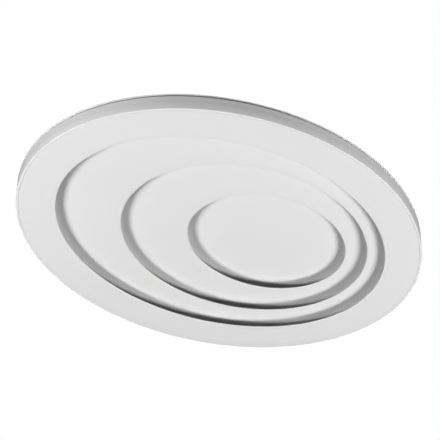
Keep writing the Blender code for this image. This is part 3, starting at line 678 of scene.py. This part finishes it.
def keyhole_cutters():
    """For each keyhole, the head's round and the slot beside it, with a round end."""
    for x, y in KEYHOLES:
        yield post(KEYHOLE_HEAD, CUT_LOW, CUT_HIGH, (x, y))
        low, high = (x, y - KEYHOLE_SLOT, CUT_LOW), (x + KEYHOLE_RUN, y + KEYHOLE_SLOT, CUT_HIGH)
        yield soft_box("slot", low, high, ZINC, 0.0002, KEYHOLE_SLOT - 0.0001)


def pan_holes():
    """Cutters for the pan's keyholes, cable hole, screw holes and rivet holes."""
    screws = [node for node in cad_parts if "_screw" in node]
    rivets = [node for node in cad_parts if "_rivet" in node]
    holes = list(keyhole_cutters()) + [post(CABLE_HOLE, CUT_LOW, CUT_HIGH, (0, CABLE_Y), 62)]
    for node, radius in [(node, SUNK_SCREW) for node in screws] + [(node, SUNK_RIVET) for node in rivets]:
        low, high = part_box(node)
        holes.append(post(radius, low.z, high.z + 0.003, spot_of(node), 26))
    return holes


def make_base_pan():
    """Pressed pan: the sheet's section runs over floor, rib, wall and flange to a folded edge, then back."""
    fold_z = FLANGE_Z + PAN_FOLD - SHEET / 2
    floor_to_flange = [
        (HALF_WIDTH - 0.004, 0.0),
        (0.0920, 0.0),
        (0.0895, -0.0012),
        (0.0835, -0.0012),
        (0.0810, 0.0),
        (WELL_INSET, 0.0),
        (WELL_INSET - 0.0020, -0.0020),
        (WALL_FOOT_INSET, FLANGE_Z),
        (0.0100, FLANGE_Z),
    ]
    upper = rounded(floor_to_flange, 0.0030)
    edge = rounded([(0.0100, FLANGE_Z), (SHEET, FLANGE_Z), (SHEET, fold_z)], 0.0006)
    sheet = thickened(np.vstack([upper, edge[1:]]), -SHEET)
    half = len(sheet) // 2
    over = np.array(arc((SHEET / 2, fold_z), SHEET / 2, 0, 180, 7))[1:-1]
    section = np.vstack([sheet[:half], over, sheet[half:]])
    rings = [outline(inset, z) for inset, z in section]
    pan = baked(skin("base_pan_fine", rings, PAN_WHITE), pan_holes())
    stands_for(pan, "base", "pan_paint", "base_pan")


def make_light_seal():
    """Foam strip under the pan's flange, its section a rounded oblong carried round the outline."""
    low, high = (corner.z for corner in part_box("light_seal"))
    flat = rounded_rectangle(0.0034, high - low, 0.0004, 4)
    rings = [outline(0.0025 + x, (low + high) / 2 + z) for x, z in flat]
    stands_for(skin("light_seal_fine", rings, FOAM, joined=True), "base", "foam", "light_seal")


# ---------------------------------------------------------------- clips, catches and fasteners


def strip(name, path, width, thickness, finish, place, turn, narrow=1.0):
    """A flat strip bent along an (outward, height) path: a rounded oblong carried along it, then placed."""
    path = np.column_stack([path[:, 0], np.zeros(len(path)), path[:, 1]])
    flat = rounded_rectangle(width, thickness, thickness * 0.3, 3)
    along = np.gradient(path, axis=0)
    along /= np.linalg.norm(along, axis=1)[:, None]
    across = np.array([0.0, 1.0, 0.0])
    lift = np.cross(along, across)
    taper = np.linspace(1.0, narrow, len(path))[:, None, None]
    rings = path[:, None] + across * flat[None, :, :1] * taper + lift[:, None] * flat[None, :, 1:]
    return skin(name, place_points(rings.reshape(-1, 3), place, turn).reshape(rings.shape), finish)


def make_diffuser_clips():
    """Tabs on the rim's wall: an L bent strip whose toe reaches in over the face plate's flange."""
    toe = FACE_Z + BEAD_HEIGHT + PLATE + 2 * GAP + 0.0011
    for number, degrees in enumerate(CLIP_ANGLES, 1):
        place, turn = rim_place(degrees, RIM_WALL, 0.0)
        path = rounded([(-0.0014, toe + 0.0087), (-0.0014, toe), (-0.0078, toe)], 0.0014)
        clip = strip(f"diffuser_clip_{number}_fine", path, 0.0155, 0.0021, NYLON, place, turn, 0.78)
        stands_for(clip, "cover", "nylon", f"diffuser_clip_{number}")


def make_catches():
    """Spring catches: a riveted foot, and a leaf whose section is carried down past its rounded nose."""
    top = FLANGE_Z - SHEET - GAP
    reach = CATCH_INSET - RIM_WALL - 0.0015
    bends = [(0.0002, -0.0006), (reach * 0.45, -0.0060), (reach, -0.0125), (reach * 0.5, -0.0198)]
    for number, degrees in enumerate(CATCH_ANGLES, 1):
        place, turn = rim_place(degrees, CATCH_INSET, top)
        path = rounded(bends, 0.006, 9)
        leaf = strip(f"catch_leaf_{number}_fine", path, 0.0138, 0.0006, SPRING_STEEL, place, turn, 0.8)
        stands_for(leaf, f"catch_{number}", "spring_steel", f"catch_leaf_{number}")
        low, high = (-0.0163, -0.0069, -0.0006), (-0.0003, 0.0069, 0.0)
        foot = soft_box(f"catch_foot_{number}_fine", low, high, SPRING_STEEL, 0.0001, 0.0015, place, turn)
        stands_for(foot, "base", "spring_steel", f"catch_foot_{number}")
        spot, _ = rim_place(degrees, CATCH_INSET + 0.008, FLANGE_Z - SHEET)
        crown = arc((0.0014, -0.0010), 0.0011, 0, -90, 6)
        upset = [(0.0002, 0.0021), (0.0012, 0.0020), (0.0022, 0.0015), (0.0024, 0.0013), (0.0014, 0.0012)]
        profile = upset + [(0.0014, -0.0010)] + crown + [(0.0003, -0.00215)]
        rivet = turned(f"catch_rivet_{number}_fine", profile, ZINC, spot, 32)
        stands_for(rivet, "base", "zinc_steel", f"catch_rivet_{number}")


def screw(name, spot, seat_z, radius, finish, tip_z=-0.0003):
    """A pan-head screw: shank and head turned round an axis, with a cross sunk in the crown.

    The crown's height at (r, t) is its dome less a depth where |r cos t| or |r sin t| is under half a slot.
    """
    count = 96
    around = np.linspace(0, 2 * math.pi, count, endpoint=False)
    side = [(0.0004, tip_z), (0.0011, tip_z - 0.0005), (0.0012, tip_z - 0.0006)]
    side += [(0.0012, seat_z), (radius - 0.0001, seat_z)]
    side += arc((radius - 0.0005, seat_z - 0.0005), 0.0005, 0, -70, 5)
    rings = [np.column_stack([r * np.cos(around), r * np.sin(around), np.full(count, z)]) for r, z in side]
    rim_radius, rim_z = side[-1]
    for r in np.linspace(rim_radius, 0.0002, 22)[1:]:
        x, y = r * np.cos(around), r * np.sin(around)
        dome = rim_z - 0.0009 * (1 - (r / rim_radius) ** 2)
        arm = np.minimum(np.abs(x), np.abs(y))
        length = np.maximum(np.abs(x), np.abs(y))
        sunk = np.clip((0.00042 - arm) / 0.00012, 0, 1) * np.clip((0.0018 - length) / 0.0003, 0, 1)
        rings.append(np.column_stack([x, y, dome + 0.0010 * sunk * (1 - length / 0.0026)]))
    rings = np.array(rings) + np.array([*spot, 0.0])
    return skin(name, rings, finish, sharp=50)


# ---------------------------------------------------------------- light boards


def copies(name, points, faces, places, turns, finishes, finish_of):
    """One small shape repeated at many places, each turned about Z, in one mesh of several finishes."""
    points = np.asarray(points, float)
    every = np.vstack([place_points(points, place, turn) for place, turn in zip(places, turns)])
    starts = range(0, len(every), len(points))
    all_faces = [[corner + start for corner in face] for start in starts for face in faces]
    mesh = bpy.data.meshes.new(name)
    mesh.from_pydata(every.tolist(), [], all_faces)
    for finish in finishes:
        mesh.materials.append(finish)
    mesh.polygons.foreach_set("material_index", np.tile(finish_of, len(places)))
    mesh.update()
    return shown(name, mesh)


def led_shape():
    """A small LED: a white package stepped in to a lit window on its face, as (points, faces, finishes)."""
    layers = [(3.0, 0.0), (3.0, -0.55), (2.8, -0.7), (2.2, -0.7), (2.15, -0.62)]
    points = []
    for side, z in layers:
        flat = rounded_rectangle(side / 1000, side / 1000, 0.00025, 2)
        points += [(x, y, z / 1000) for x, y in flat]
    count = 8
    faces, finish_of = [], []
    for layer in range(len(layers) - 1):
        for i in range(count):
            j = (i + 1) % count
            low = layer * count
            faces.append([low + j, low + i, low + count + i, low + count + j])
            finish_of.append(0)
    faces += [list(range(count)), list(range(len(points) - 1, len(points) - 1 - count, -1))]
    finish_of += [0, 1]
    return points, faces, finish_of


def lens_spots(number):
    """Angles of a board's lenses round its ring: eight on an outer board, seven on the inner ring."""
    if number < OUTER_BOARDS:
        return OUTER_RING, np.linspace(number * 90 + 9, number * 90 + 81, 8)
    return INNER_RING, np.linspace(135, 405, 7)


def ring_spot(ring, degrees, z):
    """A point on a ring at an angle, and the turn of its outward normal."""
    turn = math.radians(degrees)
    x, y = ring[0] + ring[1] * math.cos(turn), ring[2] * math.sin(turn)
    return (x, y, z), math.atan2(math.sin(turn) / ring[2], math.cos(turn) / ring[1])


def ring_band(name, number, half, low, high, finish, edge=0.0002):
    """A flat band on a board's ring: a rounded oblong carried along an arc, or right round the inner ring."""
    middle, flat = (low + high) / 2, rounded_rectangle(2 * half, high - low, edge, 3)
    if number < OUTER_BOARDS:
        path = ring_path(OUTER_RING, number * 90 + 4, number * 90 + 86, middle, 72)
        return swept(name, path, flat, finish)
    centre_x, half_length, half_width = INNER_RING
    rings = [oval(centre_x, half_length + x, half_width + x, middle + z, 144) for x, z in flat]
    return skin(name, rings, finish, joined=True)


def join(first, others):
    """Several pieces made one, each keeping its own finish."""
    with bpy.context.temp_override(active_object=first, selected_editable_objects=[first, *others]):
        bpy.ops.object.join()
    return first


def make_boards():
    """Each board, the LEDs on it, and its clear strip of domed lenses with a dimple over each LED."""
    points, faces, finish_of = led_shape()
    half = BOARD_WIDTH / 2
    for number in range(BOARDS):
        label = number + 1
        board_low, board_high = (corner.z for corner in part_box(f"led_board_{label}"))
        strip_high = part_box(f"lens_strip_{label}")[1].z
        board = ring_band(f"led_board_{label}_fine", number, half, board_low, board_high, BOARD_WHITE)
        ring, angles = lens_spots(number)
        spots = [ring_spot(ring, degrees, board_low) for degrees in angles]
        places, turns = [spot for spot, _ in spots], [turn for _, turn in spots]
        leds = copies("leds", points, faces, places, turns, (DRIVER_WHITE, PHOSPHOR), finish_of)
        stands_for(join(board, [leds]), "base", "board_mask", f"led_board_{label}")
        foot_low = strip_high - 0.0010
        foot = (half - 0.001, foot_low, strip_high)
        clear = ring_band(f"lens_strip_{label}_fine", number, *foot, LENS, 0.0003)
        dome = [(LENS_RADIUS, foot_low - 0.00002), (LENS_RADIUS, foot_low - 0.0008)]
        dome += arc((LENS_RADIUS - LENS_CORNER, foot_low - 0.0008), LENS_CORNER, 0, -90, 9)
        dome += [(0.0018, foot_low - 0.0048), (0.0009, foot_low - 0.0040), (0.0003, foot_low - 0.0034)]
        domes = [turned("dome", dome, LENS, spot[:2] + (0,), 40) for spot in places]
        stands_for(join(clear, domes), "base", "lens", f"lens_strip_{label}")
        node = f"board_screw_{label}"
        head = screw(node + "_fine", spot_of(node), foot_low - GAP, SCREW_HEAD, ZINC)
        stands_for(head, "base", "zinc_steel", node)


def make_links():
    """Bridge connectors: a rounded housing with a raised latch and two sunk poke holes."""
    for number in (1, 2, 3):
        low, high = corners_of(f"board_link_{number}")
        middle, size = (low + high) / 2, high - low
        long_way = np.array([1.0, 0, 0]) if size[0] > size[1] else np.array([0, 1.0, 0])
        body = soft_box(f"board_link_{number}_fine", low + (0, 0, 0.0006), high, NYLON, 0.0004, 0.0006)
        latch_half = np.where(long_way > 0, size * 0.18, size * 0.36)
        latch_low, latch_high = middle - latch_half, middle + latch_half
        latch_low[2], latch_high[2] = low[2], low[2] + 0.0010
        latch = soft_box("latch", latch_low, latch_high, NYLON, 0.0003, 0.0004)
        holes = []
        for side in (-1, 1):
            spot = middle + long_way * side * max(size[:2]) * 0.32
            holes.append(post(0.0009, low[2] - 0.001, low[2] + 0.0022, spot[:2], 20))
        stands_for(join(baked(body, holes), [latch]), "base", "nylon", f"board_link_{number}")


# ---------------------------------------------------------------- driver and terminal block


def make_driver():
    """Driver: a drafted case with ribs and ears, its lid with a raised panel, and two screws."""
    case_low, case_high = corners_of("driver_case")
    lid_low, lid_high = corners_of("driver_lid")
    inner_low = case_low + (DRIVER_EAR, 0, 0)
    inner_high = case_high - (DRIVER_EAR, 0, 0)
    body = soft_box("driver_case_fine", inner_low, inner_high, DRIVER_WHITE, 0.0008, DRIVER_WALL)
    hollow_low, hollow_high = inner_low + DRIVER_WALL, inner_high - DRIVER_WALL
    hollow_low[2] -= 0.006
    slot_z = case_high[2] - 0.0140
    slot_low, slot_high = (case_low[0], -0.012, slot_z - 0.002), (case_high[0], 0.012, slot_z + 0.002)
    slot = soft_box("slot", slot_low, slot_high, ZINC, 0.0004)
    baked(body, [soft_box("hollow", hollow_low, hollow_high, ZINC, 0.0004, 0.001), slot])
    extras = []
    for side in (-1, 1):
        end_x = inner_low[0] if side < 0 else inner_high[0]
        ends = sorted((end_x - side * 0.001, end_x + side * DRIVER_EAR))
        low, high = (ends[0], -0.007, case_high[2] - 0.0020), (ends[1], 0.007, case_high[2])
        extras.append(soft_box("ear", low, high, DRIVER_WHITE, 0.0003, 0.004))
        for step in range(RIB_COUNT):
            x = inner_low[0] + 0.015 + step * RIB_PITCH
            y = (case_low[1] if side < 0 else case_high[1]) - side * 0.0004
            low = (x - 0.0012, y - 0.0004, case_low[2] + 0.003)
            high = (x + 0.0012, y + 0.0004, case_high[2] - 0.003)
            extras.append(soft_box("rib", low, high, DRIVER_WHITE, 0.0003))
    stands_for(join(body, extras), "base", "driver_plastic", "driver_case")
    lid_top = case_low[2] - GAP
    lid = soft_box("driver_lid_fine", lid_low, (*lid_high[:2], lid_top), DRIVER_WHITE, 0.0005, 0.0016)
    frame_low, frame_high = lid_low + (0.006, 0.005, 0), lid_high - (0.006, 0.005, 0)
    recess = (*frame_low[:2], lid_low[2] - 0.001), (*frame_high[:2], lid_low[2] + 0.0004)
    baked(lid, [soft_box("recess", *recess, ZINC, 0.0003, 0.002)])
    plug_low = (lid_low[0] + 0.0019, lid_low[1] + 0.0019, lid_top - 0.0002)
    plug_high = (lid_high[0] - 0.0019, lid_high[1] - 0.0019, lid_high[2])
    join(lid, [soft_box("plug", plug_low, plug_high, DRIVER_WHITE, 0.0003, 0.001)])
    stands_for(lid, "base", "driver_plastic", "driver_lid")
    for node in ("driver_screw_1", "driver_screw_2"):
        made = screw(node + "_fine", spot_of(node), case_high[2] - 0.0023, SCREW_HEAD, ZINC)
        stands_for(made, "base", "zinc_steel", node)


def make_terminal():
    """Push-in block: pockets for three release buttons, round wire entries on both sides, and grooves."""
    low, high = corners_of("terminal_block")
    block = soft_box("terminal_block_fine", low, high, NYLON, 0.0006, 0.0008)
    cutters = []
    for pole in ("live", "neutral", "earth"):
        button_low, button_high = corners_of(f"{pole}_button")
        middle = (button_low + button_high) / 2
        pocket_low = (button_low[0] - GAP, button_low[1] - GAP, low[2] - 0.001)
        pocket_high = (button_high[0] + GAP, button_high[1] + GAP, button_high[2] + 0.0018)
        cutters.append(soft_box("pocket", pocket_low, pocket_high, ZINC, 0.0001, 0.0006))
        turn = np.linspace(0, 2 * math.pi, TUBE_SIDES, endpoint=False)
        funnel = [(-0.0010, 0.0023), (0.0, 0.0023), (0.0010, 0.0016), (0.0060, 0.0016)]
        for side, x in ((-1, low[0]), (1, high[0])):
            rings = []
            for depth, radius in funnel:
                ring_y, ring_z = middle[1] + radius * np.cos(turn), high[2] - 0.0045 + radius * np.sin(turn)
                rings.append(np.column_stack([np.full(TUBE_SIDES, x - side * depth), ring_y, ring_z]))
            cutters.append(skin("entry", rings, ZINC))
        button = soft_box(f"{pole}_button_fine", button_low, button_high, BUTTON_ORANGE, 0.0004, 0.0008)
        groove_low = (button_low[0] - 0.001, middle[1] - 0.0005, button_low[2] - 0.001)
        groove_high = (button_high[0] + 0.001, middle[1] + 0.0005, button_low[2] + 0.0007)
        baked(button, [soft_box("groove", groove_low, groove_high, ZINC, 0.0001)])
        stands_for(button, f"{pole}_release", "button", f"{pole}_button")
    for y in (-0.0055, 0.0055):
        divider_low = (low[0] - 0.001, y - 0.0003, low[2] - 0.001)
        divider_high = (high[0] + 0.001, y + 0.0003, low[2] + 0.0008)
        cutters.append(soft_box("divider", divider_low, divider_high, ZINC, 0.0001))
    stands_for(baked(block, cutters), "base", "nylon", "terminal_block")


# ---------------------------------------------------------------- cable entry and leads


def make_cable_entry():
    """Grommet: a joined section with a groove for the sheet and a flared bore; earth washer and screw."""
    neck, lip, bore = 0.0097, 0.0130, 0.0060
    section = [(bore, -0.0008), (bore + 0.0006, -0.0002), (neck, -0.0002), (neck, -0.0013)]
    section += arc((lip - 0.0008, -0.0021), 0.0008, 90, -60, 7)
    section += arc((bore + 0.0012, -0.0038), 0.0010, -60, -180, 7) + [(bore, -0.0030)]
    grommet = turned("cable_grommet_fine", section, GROMMET, (0, CABLE_Y, 0), 96, joined=True)
    stands_for(grommet, "base", "grommet", "cable_grommet")
    low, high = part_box("earth_washer")
    spot = spot_of("earth_washer")
    cup = [(0.0015, high.z), (0.0042, high.z)] + arc((0.0046, high.z - 0.0004), 0.0004, 90, -90, 6)
    cup += [(0.0040, low.z), (0.0015, low.z)]
    washer = turned("earth_washer_fine", cup, BRASS, (*spot, 0), 64, joined=True)
    stands_for(washer, "base", "brass", "earth_washer")
    stands_for(screw("earth_screw_fine", spot, low.z - GAP, 0.0032, BRASS), "base", "brass", "earth_screw")


def tube(name, route, radius, finish, count=90, twin=False, stripe=None):
    """A lead: a round section, or two cores side by side, carried along its smooth route.

    The twin section is (r cos t, 0.62 r sin t) pinched at its middle. A stripe takes two bands of the faces.
    """
    turn = np.linspace(0, 2 * math.pi, TUBE_SIDES, endpoint=False)
    section = np.column_stack([np.cos(turn), np.sin(turn)]) * radius
    if twin:
        pinch = 1 - 0.45 * np.exp(-((np.cos(turn) / 0.35) ** 2))
        section = np.column_stack([np.cos(turn), 0.62 * np.sin(turn) * pinch]) * radius
    made = swept(name, smooth_route(route, count), section, finish)
    if stripe:
        made.data.materials.append(stripe)
        side = np.arange(len(made.data.polygons)) % TUBE_SIDES
        striped = (side % (TUBE_SIDES // 2)) < 5
        made.data.polygons.foreach_set("material_index", striped.astype(np.int32))
    return made


def make_leads():
    """Leads between the driver, the terminal block, the earth screw and the boards."""
    slot_x, far_slot_x, slot_z = -0.040, -0.190, -0.0153
    entry_x, entry_z = -0.013, -0.0058
    supply = (("live", BROWN, 0.0075, "brown_lead"), ("neutral", BLUE, 0.0025, "blue_lead"))
    for pole, finish, slot_y, slot_name in supply:
        pole_y = spot_of(f"{pole}_button")[1]
        route = [
            (slot_x - 0.0030, slot_y, slot_z),
            (slot_x + 0.0040, slot_y, slot_z),
            (slot_x + 0.0120, (slot_y + pole_y) / 2, (slot_z + entry_z) / 2 - 0.0020),
            (entry_x - 0.0050, pole_y, entry_z),
            (entry_x + 0.0040, pole_y, entry_z),
        ]
        stands_for(tube(f"{pole}_lead_fine", route, LEAD_RADIUS, finish), "base", slot_name, f"{pole}_lead")
    earth_y = spot_of("earth_button")[1]
    route = [
        (entry_x + 0.0040, earth_y, entry_z),
        (entry_x - 0.0060, earth_y, entry_z),
        (entry_x - 0.0120, earth_y - 0.0120, entry_z - 0.0020),
        (-0.0200, -0.0340, -0.0052),
        (-0.0220, -0.0435, -0.0036),
    ]
    earth = tube("earth_lead_fine", route, LEAD_RADIUS, GREEN, stripe=YELLOW)
    eyelet = [(0.0016, -0.0018), (0.0040, -0.0018), (0.0040, -0.0025), (0.0016, -0.0025)]
    ring_end = turned("eyelet", eyelet, ZINC, (-0.022, -0.050, 0), 48, joined=True)
    tail_path = [(-0.022, -0.0465, -0.0022), (-0.0219, -0.0450, -0.0026), (-0.0217, -0.0420, -0.0036)]
    tail = swept("tail", tail_path, rounded_rectangle(0.0026, 0.0009, 0.0003, 3), ZINC)
    stands_for(join(earth, [ring_end, tail]), "base", "green_yellow_lead", "earth_lead")
    outer = [
        (far_slot_x + 0.0030, 0.0060, slot_z),
        (far_slot_x - 0.0060, 0.0060, slot_z),
        (far_slot_x - 0.0220, 0.0120, slot_z + 0.0020),
        (-0.2300, 0.0160, -0.0078),
        (-0.2372, 0.0162, -0.0048),
    ]
    inner = [
        (slot_x - 0.0030, -0.0080, slot_z),
        (slot_x + 0.0060, -0.0080, slot_z),
        (-0.0160, -0.0240, slot_z),
        (0.0060, -0.0280, slot_z + 0.0020),
        (0.0300, -0.0240, -0.0108),
        (0.0400, -0.0180, -0.0058),
    ]
    for name, route in (("outer_led_lead", outer), ("inner_led_lead", inner)):
        end = np.array(route[-1])
        plug = soft_box("plug", end - (0.0022, 0.0026, 0.0010), end + (0.0022, 0.0026, 0.0014), NYLON, 0.0003)
        lead = tube(name + "_fine", route, TWIN_RADIUS, GREY, twin=True)
        stands_for(join(lead, [plug]), "base", "grey_lead", name)


make_base_pan()
make_light_seal()
make_diffuser_clips()
make_catches()
make_boards()
make_links()
make_driver()
make_terminal()
make_cable_entry()
make_leads()

driver_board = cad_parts["driver_board"]
driver_board.data.materials.clear()
driver_board.data.materials.append(BOARD_GREEN)


# ---------------------------------------------------------------- stage, light and camera


def make_floor():
    """A plain pale floor far below the luminaire, kept from throwing light back up at it."""
    size, depth = 40.0, -6.0
    corners = [(-size, -size, depth), (size, -size, depth), (size, size, depth), (-size, size, depth)]
    mesh = bpy.data.meshes.new("floor")
    mesh.from_pydata(corners, [], [(0, 1, 2, 3)])
    floor = shown("floor", mesh)
    pale = Finish("floor_pale", 0.9)
    tones = [(0.3, (0.84, 0.84, 0.84)), (0.7, (0.88, 0.88, 0.88))]
    pale.colour(pale.ramp(pale.noise(0.3, 2.0, 0.5), tones))
    pale.shader.inputs["Emission Color"].default_value = (1, 1, 1, 1)
    pale.shader.inputs["Emission Strength"].default_value = 0.55
    mesh.materials.append(pale.material)
    floor.visible_diffuse = False
    floor.visible_glossy = False


def camera_axes():
    """Unit vectors along the camera's right, its downward side and its view, from its direction round Z."""
    azimuth, elevation = math.radians(CAMERA_AZIMUTH), math.radians(CAMERA_ELEVATION)
    stand = Vector((
        math.sin(azimuth) * math.cos(elevation),
        -math.cos(azimuth) * math.cos(elevation),
        math.sin(elevation),
    ))
    ahead = -stand
    right = ahead.cross(Vector((0, 0, 1))).normalized()
    return right, ahead.cross(right), ahead


def make_camera():
    """The camera below the face, looking up at the middle of the face plate."""
    right, down, ahead = camera_axes()
    place = -ahead * CAMERA_DISTANCE * HALF_LENGTH + Vector((0, 0, FACE_Z))
    place -= right * CAMERA_SLIDE[0] * HALF_LENGTH + down * CAMERA_SLIDE[1] * HALF_LENGTH
    data = bpy.data.cameras.new("camera")
    data.lens = CAMERA_LENS
    data.sensor_width = 36
    data.clip_end = 100
    camera = shown("camera", data)
    camera.matrix_world = Matrix.Translation(place) @ Matrix((right, -down, -ahead)).transposed().to_4x4()
    bpy.context.scene.camera = camera


def make_light(name, side, forward, height, size, power):
    """A square soft light, placed by how far it stands beside and beyond the luminaire from the camera."""
    right, _, ahead = camera_axes()
    along = Vector((ahead.x, ahead.y, 0)).normalized()
    place = right * side + along * forward + Vector((0, 0, height))
    data = bpy.data.lights.new(name, "AREA")
    data.size = size
    data.energy = power
    light = shown(name, data)
    light.location = place
    light.rotation_euler = (Vector(LIT_POINT) - place).to_track_quat("-Z", "Y").to_euler()


def make_surroundings():
    """White round the luminaire as the camera sees it, and a dim even light from it on the surfaces."""
    world = bpy.data.worlds.new("studio")
    bpy.context.scene.world = world
    world.use_nodes = True
    tree = world.node_tree
    background = tree.nodes["Background"]
    background.inputs["Color"].default_value = (1, 1, 1, 1)
    rays = tree.nodes.new("ShaderNodeLightPath")
    strength = tree.nodes.new("ShaderNodeMapRange")
    strength.inputs["To Min"].default_value = WHITE_LIT
    strength.inputs["To Max"].default_value = WHITE_SHOWN
    tree.links.new(rays.outputs["Is Camera Ray"], strength.inputs["Value"])
    tree.links.new(strength.outputs["Result"], background.inputs["Strength"])


make_floor()
make_camera()
make_surroundings()
make_light("left_softbox", -2.6, -0.9, -2.35, 1.1, 111)
make_light("right_softbox", 2.6, 0.2, -2.6, 1.3, 117)
make_light("near_fill", 0.8, -2.2, 0.5, 1.2, 30)
make_light("left_fill", -2.6, -1.2, 0.2, 1.0, 20)
make_light("overhead", 0.4, 1.2, 3.2, 2.0, 90)
bpy.context.scene.view_settings.view_transform = "Standard"
bpy.context.scene.view_settings.gamma = CONTRAST
